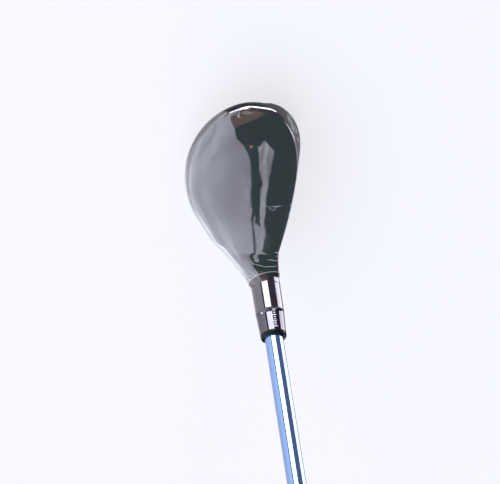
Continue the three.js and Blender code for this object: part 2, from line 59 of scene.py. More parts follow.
FRONT_Y = -18
FACE_BULGE_RADIUS = 250
TOE_X, TOE_Y, TOE_Z = 49.5, 19, 19
TOE_ROUND_X = 15
BACK_X, BACK_Y = 13, 45.5
HEEL_X, HEEL_BACK_Y = -26, 29
HEEL_POWER, BACK_TOE_POWER, FACE_TOE_POWER = 2.0, 1.95, 2.5
TOPLINE_Z, TOPLINE_TILT, TOPLINE_SAG = 35, 0.06, 0.0006
LEAD_Z = 2.5
SKIRT_Z, SKIRT_RISE = 13, 0.33
PATCH_HALF_X, PATCH_HALF_Y = 9, 4
CAMBER_RADIUS = 180

HOSEL_Y = -1.5
NECK_FILLET, NECK_RADIUS, SEAM_RADIUS = 14, 7.5, 7.3
HOSEL_LENGTH = 14.5
BLEND_START_X, BLEND_AT_BEND, BLEND_POWER = -9, 0.08, 1.7
HEEL_SOLE_Z, HEEL_CORNER_POWER = 1.8, 20

PANEL_HEEL_X = -17
CROWN_TOE_X = 46.5
FACE_TOE_X = 41
PANEL_INSET = 3.5
PANEL_CORNER = 5
TOPLINE_FILLET = 1.6
LEAD_FILLET = 2.0
WALL, CROWN_WALL, FACE_WALL = 1.3, 1.0, 2.2
SEAM_GAP = 0.04
SCORE_SPACING, SCORE_HALF_WIDTH = 3.2, 0.45
SCORE_LOW, SCORE_HIGH = 6, 31
SCORE_HEEL_X, SCORE_TOE_X = -14, 34

BORE_RADIUS, BORE_BOTTOM = 5.9, -13.5
SCREW_HOLE_RADIUS, SCREW_POCKET_RADIUS, SCREW_SEAT = 3.1, 4.9, -33
SPLINE_TEETH, SPLINE_RADIUS = 12, 6.15
SPLINE_LOW, SPLINE_HIGH = 8.5, 12.5

SLEEVE_SHOULDER = 15.04
FERRULE_START, FERRULE_END, FERRULE_RADIUS = 27.1, 28.7, 6.55
TIP_RADIUS, BUTT_RADIUS = 4.7, 7.6
TAPER_START, BUTT_START, SHAFT_END = 110, 700, 974
GRIP_START, GRIP_END = 708, 975

WEIGHT_X, WEIGHT_Y = 9, 28
WEIGHT_TILT = math.radians(14)
BUSHING_RADIUS = 9

FILM_LIFT = 0.3
FILM_NECK_EDGE = -5.2
FILM_NECK_SLANT = math.radians(11)
FILM_OPENING = (-3, 14, 36, 26)
FILM_NECK_ROWS = 46
FILM_EDGE_ROLL = 0.14

# Position and orientation of the camera, and its lens
CAMERA_PLACE = (387.34, 329.64, 858.69)
CAMERA_RIGHT = (0.19244, -0.94375, 0.26890)
CAMERA_UP = (0.88785, 0.05073, -0.45733)
CAMERA_BACK = (0.41797, 0.32675, 0.84767)
CAMERA_LENS = 139.55


# ------------------------------------------------------------------ settings a user may change

class HeadSettings(bpy.types.PropertyGroup):
    """Finish of the head and of the film over it."""
    crown_colour: FloatVectorProperty(
        name="Crown colour", description="Base colour of the gloss paint",
        subtype="COLOR", default=(0.012, 0.016, 0.017), min=0, max=1)
    score_depth: FloatProperty(
        name="Score depth", description="Depth of the lines in the face",
        subtype="DISTANCE", unit="LENGTH", default=0.0003, min=0, max=0.0006)
    film_thickness: FloatProperty(
        name="Film thickness", description="Thickness of the clear film",
        subtype="DISTANCE", unit="LENGTH", default=0.00006, min=0.00003, max=0.0002)
    film_waves: FloatProperty(
        name="Film waves", description="Height of the film's slow waves",
        subtype="DISTANCE", unit="LENGTH", default=0.000016, min=0, max=0.0003)
    pleat_height: FloatProperty(
        name="Pleat height", description="How far a pleat stands up from the film",
        subtype="DISTANCE", unit="LENGTH", default=0.00022, min=0.0001, max=0.0006)


class ShaftSettings(bpy.types.PropertyGroup):
    """Finish of the shaft and marks on its sleeve."""
    shaft_colour: FloatVectorProperty(
        name="Shaft colour", description="Colour of the bright coating",
        subtype="COLOR", default=(0.125, 0.205, 0.325), min=0, max=1)
    tick_count: IntProperty(
        name="Ticks", description="Number of ticks of the sleeve's scale",
        default=10, min=2, max=30)
    tick_spacing: FloatProperty(
        name="Tick spacing", description="Distance between two ticks",
        subtype="DISTANCE", unit="LENGTH", default=0.00105, min=0.0004, max=0.002)


class GripSettings(bpy.types.PropertyGroup):
    """Pattern of the grip."""
    stud_rows: IntProperty(
        name="Stud rows", description="Rows of studs along the grip",
        default=70, min=10, max=120)
    stud_columns: IntProperty(
        name="Stud columns", description="Studs round the grip",
        default=20, min=8, max=40)
    stud_size: FloatProperty(
        name="Stud size", description="Length of one stud",
        subtype="DISTANCE", unit="LENGTH", default=0.0026, min=0.001, max=0.005)


class StageSettings(bpy.types.PropertyGroup):
    """Light and floor round the club."""
    floor_colour: FloatVectorProperty(
        name="Floor colour", description="Colour of the plain floor",
        subtype="COLOR", default=(0.96, 0.965, 0.995), min=0, max=1)
    soft_light: FloatProperty(
        name="Soft light", description="Brightness of the white side of the studio",
        default=2.6, min=0.1, max=10)
    strip_light: FloatProperty(
        name="Strip light", description="Brightness of the low strip light",
        default=20, min=1, max=60)


# ------------------------------------------------------------------ node trees

def put(tree, kind, inputs=(), **settings):
    """Adds a node. inputs maps a socket's name or number to a value or to another node's output."""
    node = tree.nodes.new(kind)
    for key, value in settings.items():
        setattr(node, key, value)
    for key, value in dict(inputs).items():
        socket = node.inputs[key]
        if isinstance(value, bpy.types.NodeSocket):
            tree.links.new(value, socket)
        else:
            socket.default_value = value
    return node


def calc(tree, operation, *values, clamp=False):
    """Result of one math node."""
    return put(tree, "ShaderNodeMath", enumerate(values), operation=operation, use_clamp=clamp).outputs[0]


def span(tree, value, low, high, to_low=0.0, to_high=1.0, smooth=True):
    """Value mapped from one span to another, held at both ends."""
    node = put(tree, "ShaderNodeMapRange", {
        "Value": value, "From Min": low, "From Max": high, "To Min": to_low, "To Max": to_high,
    }, interpolation_type="SMOOTHSTEP" if smooth else "LINEAR")
    return node.outputs["Result"]


def blend_colour(tree, amount, first, second):
    """Colour between two colours."""
    node = put(tree, "ShaderNodeMix", data_type="RGBA")
    sockets = (node.inputs["Factor"], node.inputs[6], node.inputs[7])
    for socket, value in zip(sockets, (amount, first, second)):
        if isinstance(value, bpy.types.NodeSocket):
            tree.links.new(value, socket)
        else:
            socket.default_value = value
    return node.outputs[2]


def curve_of(tree, value, points):
    """Value read from straight lines through (input, output) points, level beyond both ends."""
    total = points[0][1]
    for (start, before), (end, after) in zip(points, points[1:]):
        if after != before:
            change = span(tree, value, start, end, 0, after - before, smooth=False)
            total = calc(tree, "ADD", change, total)
    return total


def scaled(tree, colour, amount):
    """Colour times a number."""
    return put(tree, "ShaderNodeVectorMath", {0: colour, "Scale": amount}, operation="SCALE").outputs[0]


def new_group(name, inputs, outputs):
    """An empty shader node group with float or vector inputs and float outputs."""
    group = bpy.data.node_groups.new(name, "ShaderNodeTree")
    for label, default in inputs:
        kind = "NodeSocketVector" if isinstance(default, tuple) else "NodeSocketFloat"
        socket = group.interface.new_socket(label, in_out="INPUT", socket_type=kind)
        socket.default_value = default
    for label in outputs:
        group.interface.new_socket(label, in_out="OUTPUT", socket_type="NodeSocketFloat")
    source = group.nodes.new("NodeGroupInput").outputs
    sink = group.nodes.new("NodeGroupOutput").inputs
    return group, source, sink


def grain_group():
    """Stretched noise: a mask between 0 and 1 for mottling, grain and weave."""
    group, source, sink = new_group(
        "fine_grain", [("Scale", 500.0), ("Detail", 3.0), ("Stretch", (1.0, 1.0, 1.0))], ["Mask"])
    place = put(group, "ShaderNodeTexCoord").outputs["Object"]
    turned_place = put(group, "ShaderNodeMapping", {
        "Vector": place, "Rotation": (0, math.pi / 2 - LIE, 0)}).outputs[0]
    stretched = put(group, "ShaderNodeVectorMath", {0: turned_place, 1: source["Stretch"]},
                    operation="MULTIPLY").outputs[0]
    noise = put(group, "ShaderNodeTexNoise", {
        "Vector": stretched, "Scale": source["Scale"], "Detail": source["Detail"]})
    group.links.new(noise.outputs["Fac"], sink["Mask"])
    return group


def scuff_group():
    """Thin streaks in two directions, 1 on a streak and 0 elsewhere."""
    group, source, sink = new_group(
        "handling_scuffs", [("Scale", 60.0), ("Threshold", 0.70)], ["Mask"])
    place = put(group, "ShaderNodeTexCoord").outputs["Object"]
    masks = []
    for turn in (0.5, 2.1):
        mapped = put(group, "ShaderNodeMapping", {
            "Vector": place, "Rotation": (turn, turn / 2, turn), "Scale": (1, 14, 1)}).outputs[0]
        noise = put(group, "ShaderNodeTexNoise", {
            "Vector": mapped, "Scale": source["Scale"], "Detail": 2.0}).outputs["Fac"]
        over = calc(group, "SUBTRACT", noise, source["Threshold"])
        masks.append(calc(group, "MULTIPLY", over, 12.0, clamp=True))
    group.links.new(calc(group, "MAXIMUM", *masks), sink["Mask"])
    return group


def place_along(tree):
    """Distance along the shaft's axis from the end of the neck bend, in metres."""
    place = put(tree, "ShaderNodeTexCoord").outputs["Object"]
    shifted = put(tree, "ShaderNodeVectorMath", {0: place, 1: tuple(HOSEL_PLACE * MM)},
                  operation="SUBTRACT").outputs[0]
    return put(tree, "ShaderNodeVectorMath", {0: shifted, 1: tuple(HOSEL_AXES[2])},
               operation="DOT_PRODUCT").outputs["Value"]


MATERIALS = {}


def surface(name, colour, roughness, metallic=0.0, spread=0.25, grain=600.0,
            stretch=(1.0, 1.0, 1.0), bump=0.05, scuffs=0.0, mottle=0.15, **sockets):
    """A material whose colour, roughness and normal vary with fine grain and scuffs."""
    material = bpy.data.materials.new(name)
    material.use_nodes = True
    tree = material.node_tree
    shader = tree.nodes["Principled BSDF"]
    fine = put(tree, "ShaderNodeGroup", node_tree=bpy.data.node_groups["fine_grain"])
    fine.inputs["Scale"].default_value = grain
    fine.inputs["Stretch"].default_value = stretch
    slow = put(tree, "ShaderNodeGroup", node_tree=bpy.data.node_groups["fine_grain"])
    slow.inputs["Scale"].default_value = grain * 0.12
    marks = put(tree, "ShaderNodeGroup", node_tree=bpy.data.node_groups["handling_scuffs"])
    dark = tuple(value * (1 - mottle) for value in colour) + (1,)
    light = tuple(min(1, value * (1 + mottle)) for value in colour) + (1,)
    tone = blend_colour(tree, slow.outputs["Mask"], dark, light)
    scuffed = calc(tree, "MULTIPLY", marks.outputs["Mask"], scuffs)
    tone = blend_colour(tree, scuffed, tone, tuple(min(1, value + 0.25) for value in colour) + (1,))
    tree.links.new(tone, shader.inputs["Base Color"])
    low, high = roughness * (1 - spread), roughness * (1 + spread)
    varied = span(tree, fine.outputs["Mask"], 0.3, 0.7, low, high, smooth=False)
    varied = calc(tree, "ADD", varied, calc(tree, "MULTIPLY", scuffed, 0.35), clamp=True)
    tree.links.new(varied, shader.inputs["Roughness"])
    raised = put(tree, "ShaderNodeBump", {
        "Height": fine.outputs["Mask"], "Strength": bump, "Distance": 0.0001})
    tree.links.new(raised.outputs[0], shader.inputs["Normal"])
    shader.inputs["Metallic"].default_value = metallic
    for label, value in sockets.items():
        socket = label.replace("_", " ").title().replace("Ior", "IOR")
        shader.inputs[socket].default_value = value
    MATERIALS[name] = material
    return material


def shader_of(material):
    return material.node_tree.nodes["Principled BSDF"]


def add_bands(material, bands, colour):
    """Paints soft-edged bands across the shaft's axis: (start, end) pairs in mm."""
    tree = material.node_tree
    shader = shader_of(material)
    along = place_along(tree)
    mask = None
    for start, end in bands:
        rise = span(tree, along, (start - 0.1) * MM, (start + 0.1) * MM)
        fall = span(tree, along, (end - 0.1) * MM, (end + 0.1) * MM, 1.0, 0.0)
        band = calc(tree, "MULTIPLY", rise, fall)
        mask = band if mask is None else calc(tree, "MAXIMUM", mask, band)
    below = shader.inputs["Base Color"].links[0].from_socket
    tree.links.new(blend_colour(tree, mask, below, colour), shader.inputs["Base Color"])


def make_materials(head, shaft):
    """Every finish of the club, one for each material slot."""
    grain_group()
    scuff_group()
    surface("crown_gloss", tuple(head.crown_colour), 0.05, scuffs=0.02, bump=0.01, grain=900, mottle=0.2,
            ior=1.55)
    surface("body_black", (0.011, 0.011, 0.012), 0.07, scuffs=0.04, bump=0.015, grain=1200, ior=1.65)
    surface("face_steel", (0.10, 0.10, 0.105), 0.32, metallic=1.0, bump=0.3, grain=350,
            stretch=(0.15, 1, 12), scuffs=0.1)
    surface("steel", (0.50, 0.51, 0.53), 0.28, metallic=1.0, bump=0.15, grain=700, stretch=(1, 1, 0.1),
            scuffs=0.1)
    surface("nylon", (0.80, 0.79, 0.74), 0.45, bump=0.1, grain=900, subsurface_weight=0.15)
    surface("seal_black", (0.10, 0.10, 0.105), 0.3, bump=0.1, grain=1200)
    surface("dark_chrome", (0.062, 0.062, 0.068), 0.05, metallic=1.0, bump=0.01, grain=1500, scuffs=0.02)
    surface("ferrule_black", (0.005, 0.005, 0.006), 0.3, bump=0.03, grain=1200, ior=1.35,
            specular_ior_level=0.15)
    blue = surface("blue_shaft", tuple(shaft.shaft_colour), 0.05, metallic=0.75, bump=0.006,
                   grain=1500, stretch=(1, 1, 0.05), scuffs=0.015, mottle=0.05)
    add_bands(blue, [(236, 238), (240, 241), (690, 693)], (0.62, 0.64, 0.68, 1))
    add_bands(blue, [(243, 268)], (0.015, 0.03, 0.09, 1))
    surface("cork", (0.46, 0.29, 0.15), 0.85, bump=0.7, grain=450, mottle=0.5)
    surface("tape", (0.72, 0.66, 0.50), 0.8, bump=0.5, grain=1600, stretch=(1, 1, 0.3))
    rubber = surface("grip_rubber", (0.018, 0.018, 0.019), 0.62, bump=0.6, grain=2200, mottle=0.3)
    add_bands(rubber, [(712, 713.2), (964, 965.2)], (0.32, 0.33, 0.35, 1))
    surface("weight_steel", (0.26, 0.26, 0.28), 0.32, metallic=1.0, bump=0.2, grain=700,
            stretch=(1, 12, 1), scuffs=0.15)
    surface("mark_white", (0.80, 0.81, 0.83), 0.35, bump=0.05, grain=2500)
    surface("clear_film", (0.985, 0.99, 1.0), 0.035, bump=0.008, grain=220, mottle=0.01,
            transmission_weight=1.0, ior=1.40)
    surface("film_pleat", (0.62, 0.68, 0.68), 0.2, bump=0.2, grain=1500, transmission_weight=0.45,
            ior=1.45)


# ------------------------------------------------------------------ meshes and pieces

HOSEL_AXES = np.array([
    [math.sin(LIE), 0, math.cos(LIE)],
    [0, 1, 0],
    [-math.cos(LIE), 0, math.sin(LIE)],
])
PIVOT_Z = TOPLINE_Z + TOPLINE_TILT * HEEL_X - TOPLINE_SAG * HEEL_X ** 2 + NECK_FILLET
AXIS_DISTANCE = NECK_FILLET + NECK_RADIUS
HOSEL_PLACE = np.array([
    HEEL_X - math.sin(LIE) * AXIS_DISTANCE, HOSEL_Y, PIVOT_Z - math.cos(LIE) * AXIS_DISTANCE])


def on_hosel(points):
    """Points given round the shaft's axis, brought to the row frame."""
    return np.asarray(points) @ HOSEL_AXES + HOSEL_PLACE


def on_weight(points):
    """Points given on the sole weight's axis, brought to the row frame."""
    cosine, sine = math.cos(WEIGHT_TILT), math.sin(WEIGHT_TILT)
    axes = np.array([[1, 0, 0], [0, cosine, sine], [0, -sine, cosine]])
    return np.asarray(points) @ axes + np.array([WEIGHT_X, WEIGHT_Y, sole_height(WEIGHT_X, WEIGHT_Y)])


def loft(rings, closed=False):
    """Vertices and faces through rings of equal count. A ring of one point is a pole."""
    rings = [np.asarray(ring, float) for ring in rings]
    count = max(len(ring) for ring in rings)
    starts = np.cumsum([0] + [len(ring) for ring in rings])
    faces = []
    pairs = list(zip(range(len(rings) - 1), range(1, len(rings))))
    if closed:
        pairs.append((len(rings) - 1, 0))
    for low, high in pairs:
        for step in range(count):
            after = (step + 1) % count
            corners = []
            for ring, place in ((low, step), (low, after), (high, after), (high, step)):
                index = int(starts[ring]) + (place if len(rings[ring]) > 1 else 0)
                if index not in corners:
                    corners.append(index)
            if len(corners) > 2:
                faces.append(tuple(corners))
    return np.concatenate(rings), faces


def circle(radius, height, segments=96):
    """One ring about the local Z axis; a zero radius gives a pole."""
    if radius <= 0:
        return np.array([[0.0, 0.0, height]])
    angles = np.arange(segments) * 2 * math.pi / segments
    return np.stack([radius * np.cos(angles), radius * np.sin(angles), np.full(segments, height)], 1)


def eased(profile, radius=0.2, steps=3):
    """Profile with its corners rounded off by small curves."""
    result = []
    count = len(profile)
    for index, corner in enumerate(profile):
        here = np.array(corner, float)
        if corner[0] <= 0:
            result.append(here)
            continue
        before = np.array(profile[index - 1], float)
        after = np.array(profile[(index + 1) % count], float)
        for_before = before - here
        for_after = after - here
        reach = min(radius, 0.4 * np.linalg.norm(for_before), 0.4 * np.linalg.norm(for_after))
        toward_before = for_before / np.linalg.norm(for_before) * reach
        toward_after = for_after / np.linalg.norm(for_after) * reach
        result.append(here + 1.15 * toward_before)
        for step in range(steps + 1):
            t = step / steps
            result.append(here + (1 - t) ** 2 * toward_before + t * t * toward_after)
        result.append(here + 1.15 * toward_after)
    return result


def turned(profile, radius=0.2, segments=96):
    """Turned solid with eased corners. A profile that starts and ends on the axis closes with poles."""
    points = eased(profile, radius) if radius else profile
    rings = [circle(point[0], point[1], segments) for point in points]
    return loft(rings, closed=profile[0][0] > 0)


def as_mesh(name, points, faces):
    """Plain mesh in metres from points in mm."""
    mesh = bpy.data.meshes.new(name)
    mesh.from_pydata((np.asarray(points) * MM).tolist(), [], faces)
    mesh.update()
    return mesh


def as_object(name, mesh):
    piece = bpy.data.objects.new(name, mesh)
    bpy.context.scene.collection.objects.link(piece)
    return piece


def shade(mesh, angle=30):
    mesh.shade_smooth()
    mesh.set_sharp_from_angle(angle=math.radians(angle))


def finished(piece, body, slot, *nodes, material=None):
    """Gives a piece its finish, its body and the CAD nodes that it stands for."""
    piece.data.materials.clear()
    piece.data.materials.append(MATERIALS[material or slot])
    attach(piece, body)
    if nodes:
        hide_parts(*nodes)
    return piece


def applied(piece):
    """The piece's mesh with its modifiers applied, the modifiers removed."""
    graph = bpy.context.evaluated_depsgraph_get()
    mesh = bpy.data.meshes.new_from_object(piece.evaluated_get(graph))
    piece.modifiers.clear()
    piece.data = mesh
    return piece


def cut_away(piece, cutters):
    """Cuts closed shapes out of a piece."""
    tools = []
    for points, faces in cutters:
        tool = as_object("cutter", as_mesh("cutter", points, faces))
        tools.append(tool)
        modifier = piece.modifiers.new("cut", "BOOLEAN")
        modifier.operation = "DIFFERENCE"
        modifier.solver = "EXACT"
        modifier.object = tool
    applied(piece)
    for tool in tools:
        bpy.data.objects.remove(tool)
    return piece


# ------------------------------------------------------------------ head surface

def mix(first, second, amount):
    return first + (second - first) * amount


def clamp(value):
    return min(1.0, max(0.0, value))


def ease(value):
    return clamp(value) ** 2 * (3 - 2 * clamp(value))


def face_y(x, z):
    return FRONT_Y + z * math.tan(LOFT) + x * x / (2 * FACE_BULGE_RADIUS)


def section_points(x):
    """Corner points of the head's section at x: (y, z) of topline, leading edge, sole and skirt."""
    toe = clamp((x - TOE_ROUND_X) / (TOE_X - TOE_ROUND_X))
    height = math.sqrt(max(0, 1 - toe ** 2))
    depth = max(0, 1 - toe ** FACE_TOE_POWER) ** (1 / FACE_TOE_POWER)
    top_z = mix(TOE_Z, TOPLINE_Z + TOPLINE_TILT * x - TOPLINE_SAG * x * x, height)
    lead_z = mix(TOE_Z, LEAD_Z, height)
    sole_z = mix(TOE_Z, max(0, abs(x) - PATCH_HALF_X) ** 2 / (2 * CAMBER_RADIUS), height)
    if x > BACK_X:
        toward = clamp((x - BACK_X) / (TOE_X - BACK_X))
        back_y = mix(TOE_Y, BACK_Y, max(0, 1 - toward ** BACK_TOE_POWER) ** (1 / BACK_TOE_POWER))
    else:
        back_y = mix(BACK_Y, HEEL_BACK_Y, ((BACK_X - x) / (BACK_X - HEEL_X)) ** HEEL_POWER)
    skirt_z = mix(TOE_Z, SKIRT_Z + SKIRT_RISE * (BACK_Y - back_y), height)
    return (np.array([mix(TOE_Y, face_y(x, top_z), depth), top_z]),
            np.array([mix(TOE_Y, face_y(x, lead_z), depth), lead_z]),
            np.array([mix(TOE_Y, -PATCH_HALF_Y, depth), sole_z]),
            np.array([mix(TOE_Y, PATCH_HALF_Y, depth), sole_z]),
            np.array([back_y, skirt_z]))


def sole_height(x, y):
    _, _, _, back, skirt = section_points(x)
    sine = (y - back[0]) / (skirt[0] - back[0])
    return mix(skirt[1], back[1], math.sqrt(1 - sine * sine))


def panel_inset(x, heel, toe):
    """Inset of a panel's long edges, larger near its ends so that its corners are round."""
    near = min(abs(x - heel), abs(toe - x)) if heel <= x <= toe else 0
    if near >= PANEL_CORNER:
        return PANEL_INSET
    return PANEL_INSET + PANEL_CORNER - math.sqrt(PANEL_CORNER ** 2 - (PANEL_CORNER - near) ** 2)


# Columns round the head's section: (name, steps)
COLUMNS = [
    ("face_low_edge", 3), ("face", 14), ("face_high_edge", 3), ("lead_fillet", 6), ("under", 9),
    ("patch", 3), ("sole", 28), ("skirt", 2), ("crown", 66), ("crown_edge", 5), ("topline_fillet", 8),
]


def column_of(name):
    """First column of a named span."""
    total = 0
    for label, steps in COLUMNS:
        if label == name:
            return total
        total += steps
    raise ValueError(name)


def arch(t):
    """Sine and cosine of a quarter turn's share t."""
    return math.sin(t * math.pi / 2), math.cos(t * math.pi / 2)


def face_shares(x, top, lead):
    """Shares of the face's height where the fillets and the face panel begin and end."""
    length = max(1e-6, float(np.linalg.norm(lead - top)))
    round_top = min(TOPLINE_FILLET, 0.12 * length) / length
    round_lead = min(LEAD_FILLET, 0.12 * length) / length
    inset = min(panel_inset(x, PANEL_HEEL_X, FACE_TOE_X), 0.4 * length) / length
    return round_top, inset, 1 - inset, 1 - round_lead


def section_row(x):
    """Points round the head's section at x, and the angle of each on the neck's circle."""
    top, lead, front, back, skirt = section_points(x)
    t0, t1, t2, t3 = face_shares(x, top, lead)
    width = max(1e-6, skirt[0] - top[0])
    crown_high = math.acos(min(1, PANEL_INSET / width)) * 2 / math.pi
    fillet = min(TOPLINE_FILLET, 0.06 * width)
    crown_top = math.acos(fillet / width) * 2 / math.pi
    crown_high = min(max(crown_high, 0.6), crown_top - 0.01)
    under_start = 0.3

    def on_face(t):
        return mix(top, lead, t)

    def on_under(t):
        sine, cosine = arch(t)
        return np.array([mix(front[0], lead[0], cosine), mix(lead[1], front[1], sine)])

    def on_sole(t):
        sine, cosine = arch(t)
        return np.array([mix(back[0], skirt[0], sine), mix(skirt[1], back[1], cosine)])

    def on_crown(t):
        sine, cosine = arch(t)
        return np.array([mix(top[0], skirt[0], cosine), mix(skirt[1], top[1], sine)])

    def bent(start, corner, end):
        return lambda u: (1 - u) ** 2 * start + 2 * u * (1 - u) * corner + u * u * end

    def between(low, high, rule):
        return lambda u: rule(mix(low, high, u))

    lead_bend = bent(on_face(t3), lead, on_under(under_start))
    top_bend = bent(on_crown(crown_top), top, on_face(t0))
    rules = {
        "face_low_edge": (between(t0, t1, on_face), 140 + 80 * t0, 140 + 80 * t1),
        "face": (between(t1, t2, on_face), 140 + 80 * t1, 140 + 80 * t2),
        "face_high_edge": (between(t2, t3, on_face), 140 + 80 * t2, 140 + 80 * t3),
        "lead_fillet": (lead_bend, 140 + 80 * t3, 220 + 45 * under_start),
        "under": (between(under_start, 1, on_under), 220 + 45 * under_start, 265),
        "patch": (lambda u: mix(front, back, u), 265, 280),
        "sole": (on_sole, 280, 360),
        "skirt": (between(0, 0.02, on_crown), 0, 140 * 0.02),
        "crown": (between(0.02, crown_high, on_crown), 140 * 0.02, 140 * crown_high),
        "crown_edge": (between(crown_high, crown_top, on_crown), 140 * crown_high, 140 * crown_top),
        "topline_fillet": (top_bend, 140 * crown_top, 140 + 80 * t0),
    }
    points, angles = [], []
    for label, steps in COLUMNS:
        rule, start, end = rules[label]
        for step in range(steps):
            points.append(rule(step / steps))
            angles.append(mix(start, end, step / steps))
    return np.array(points), np.radians(np.array(angles))


def heel_reach(bend):
    """Distance of the heel's underside from the line about which the neck bends."""
    level = (PIVOT_Z - HEEL_SOLE_Z) / math.cos(bend)
    hosel = (AXIS_DISTANCE + NECK_RADIUS) / math.cos(LIE - bend)
    return (level ** -HEEL_CORNER_POWER + hosel ** -HEEL_CORNER_POWER) ** (-1 / HEEL_CORNER_POWER)


def head_stations():
    """Places of the rows from toe to heel, with the panels' ends among them."""
    reach = TOE_X - TOE_ROUND_X
    panel_ends = [math.asin((x - TOE_ROUND_X) / reach) for x in (CROWN_TOE_X, FACE_TOE_X)]
    stops = [math.pi / 2] + panel_ends + [0.0]
    stations = []
    for start, end, steps in zip(stops, stops[1:], (16, 12, 24)):
        # the first row stands off the toe's pole
        skipped = 1 if start == stops[0] else 0
        for step in range(steps):
            turn = mix(start, end, (step + skipped) / (steps + skipped))
            stations.append(TOE_ROUND_X + reach * math.sin(turn))
    for start, end, steps in ((TOE_ROUND_X, PANEL_HEEL_X, 44), (PANEL_HEEL_X, HEEL_X, 14)):
        stations += [mix(start, end, step / steps) for step in range(steps)]
    stations.append(HEEL_X)
    for stop in (CROWN_TOE_X, FACE_TOE_X, PANEL_HEEL_X):
        nearest = min(range(len(stations)), key=lambda index: abs(stations[index] - stop))
        stations[nearest] = stop
    return stations


STATIONS = head_stations()
BEND_STEPS = 48


def head_grid():
    """Rows of points round the head from toe to hosel seam, with outward directions."""
    rows = []
    for x in STATIONS:
        points, angles = section_row(x)
        neck = np.stack([HOSEL_Y + NECK_RADIUS * np.cos(angles),
                         PIVOT_Z - AXIS_DISTANCE + NECK_RADIUS * np.sin(angles)], 1)
        amount = BLEND_AT_BEND * ease((BLEND_START_X - x) / (BLEND_START_X - HEEL_X))
        curve = mix(points, neck, amount)
        rows.append(np.column_stack([np.full(len(curve), x), curve]))
    points, angles = section_row(HEEL_X)
    neck = np.stack([HOSEL_Y + NECK_RADIUS * np.cos(angles),
                     PIVOT_Z - AXIS_DISTANCE + NECK_RADIUS * np.sin(angles)], 1)
    for step in range(1, BEND_STEPS + 1):
        share = step / BEND_STEPS
        bend = LIE * share
        amount = mix(BLEND_AT_BEND, 1, 1 - (1 - share) ** BLEND_POWER)
        curve = mix(points, neck, amount)
        lowest = PIVOT_Z - curve[:, 1].min()
        stretch = (heel_reach(bend) - AXIS_DISTANCE) / (lowest - AXIS_DISTANCE)
        below = np.maximum(0, PIVOT_Z - AXIS_DISTANCE - curve[:, 1])
        height = curve[:, 1] + below * (1 - stretch) - PIVOT_Z
        rows.append(np.column_stack([HEEL_X + math.sin(bend) * height, curve[:, 0],
                                     PIVOT_Z + math.cos(bend) * height]))
    for along, radius in ((2, 7.47), (5, 7.43), (8, 7.39), (11, 7.35), (13.9, 7.31), (14.36, 7.302),
                          (14.42, SEAM_RADIUS), (HOSEL_LENGTH, SEAM_RADIUS - 0.08)):
        rows.append(on_hosel(np.stack([radius * np.sin(angles), radius * np.cos(angles),
                                       np.full(len(angles), along)], 1)))
    grid = np.array(rows)
    ahead = np.concatenate([grid[1:], grid[-1:]])
    behind = np.concatenate([np.broadcast_to([[TOE_X, TOE_Y, TOE_Z]], grid[:1].shape), grid[:-1]])
    return grid, outward(ahead - behind, np.roll(grid, -1, 1) - np.roll(grid, 1, 1))


def outward(along, around):
    """Outward directions of rows of points; at the tip of the toe they never lean back."""
    normal = np.cross(along, around)
    normal /= np.linalg.norm(normal, axis=2, keepdims=True)
    tip = sum(x > mix(TOE_ROUND_X, TOE_X, 0.85) for x in STATIONS)
    leaning = normal[:tip, :, 0] < 0
    normal[:tip][leaning] *= -1
    return normal


GRID, NORMAL = head_grid()
TOE_POLE = np.array([TOE_X, TOE_Y, TOE_Z])


def row_of(x):
    return STATIONS.index(x)


def walled(keep, wall, toe=False, inner_end=None, outer=GRID, normal=NORMAL):
    """Closed shell of the head surface where keep is set: outside, inside and the edges between them.

    With toe the pole is closed too. inner_end is the row where the inside stops and is capped."""
    rows, columns = outer.shape[:2]
    inner_end = rows - 1 if inner_end is None else inner_end
    points = [outer.reshape(-1, 3), (outer - normal * wall).reshape(-1, 3)]
    faces = []

    def index(layer, row, column):
        return layer * rows * columns + row * columns + column % columns

    for row in range(rows - 1):
        for column in range(columns):
            if not keep[row, column]:
                continue
            ring = [(row, column), (row + 1, column), (row + 1, column + 1), (row, column + 1)]
            faces.append(tuple(index(0, *place) for place in ring))
            if row < inner_end:
                faces.append(tuple(index(1, *place) for place in reversed(ring)))
            sides = [((row, column), (row + 1, column), (row, column - 1)),
                     ((row + 1, column), (row + 1, column + 1), (row + 1, column)),
                     ((row + 1, column + 1), (row, column + 1), (row, column + 1)),
                     ((row, column + 1), (row, column), (row - 1, column))]
            for start, end, (next_row, next_column) in sides:
                if 0 <= next_row < rows - 1 and keep[next_row, next_column % columns]:
                    continue
                if next_row < 0 and toe:
                    continue
                if next_row >= rows - 1 and inner_end < rows - 1:
                    continue
                faces.append((index(0, *end), index(0, *start), index(1, *start), index(1, *end)))
    extra = []
    total = 2 * rows * columns
    if toe:
        extra += [TOE_POLE, TOE_POLE - [wall, 0, 0]]
        for column in range(columns):
            faces.append((total, index(0, 0, column), index(0, 0, column + 1)))
            faces.append((total + 1, index(1, 0, column + 1), index(1, 0, column)))
        total += 2
    if inner_end < rows - 1:
        extra += [points[1].reshape(rows, columns, 3)[inner_end].mean(0), outer[-1].mean(0)]
        for column in range(columns):
            faces.append((total, index(1, inner_end, column), index(1, inner_end, column + 1)))
            faces.append((total + 1, index(0, rows - 1, column + 1), index(0, rows - 1, column)))
    points = np.concatenate(points + ([np.array(extra)] if extra else []))
    used = sorted({corner for face in faces for corner in face})
    places = {old: new for new, old in enumerate(used)}
    return points[used], [tuple(places[corner] for corner in face) for face in faces]


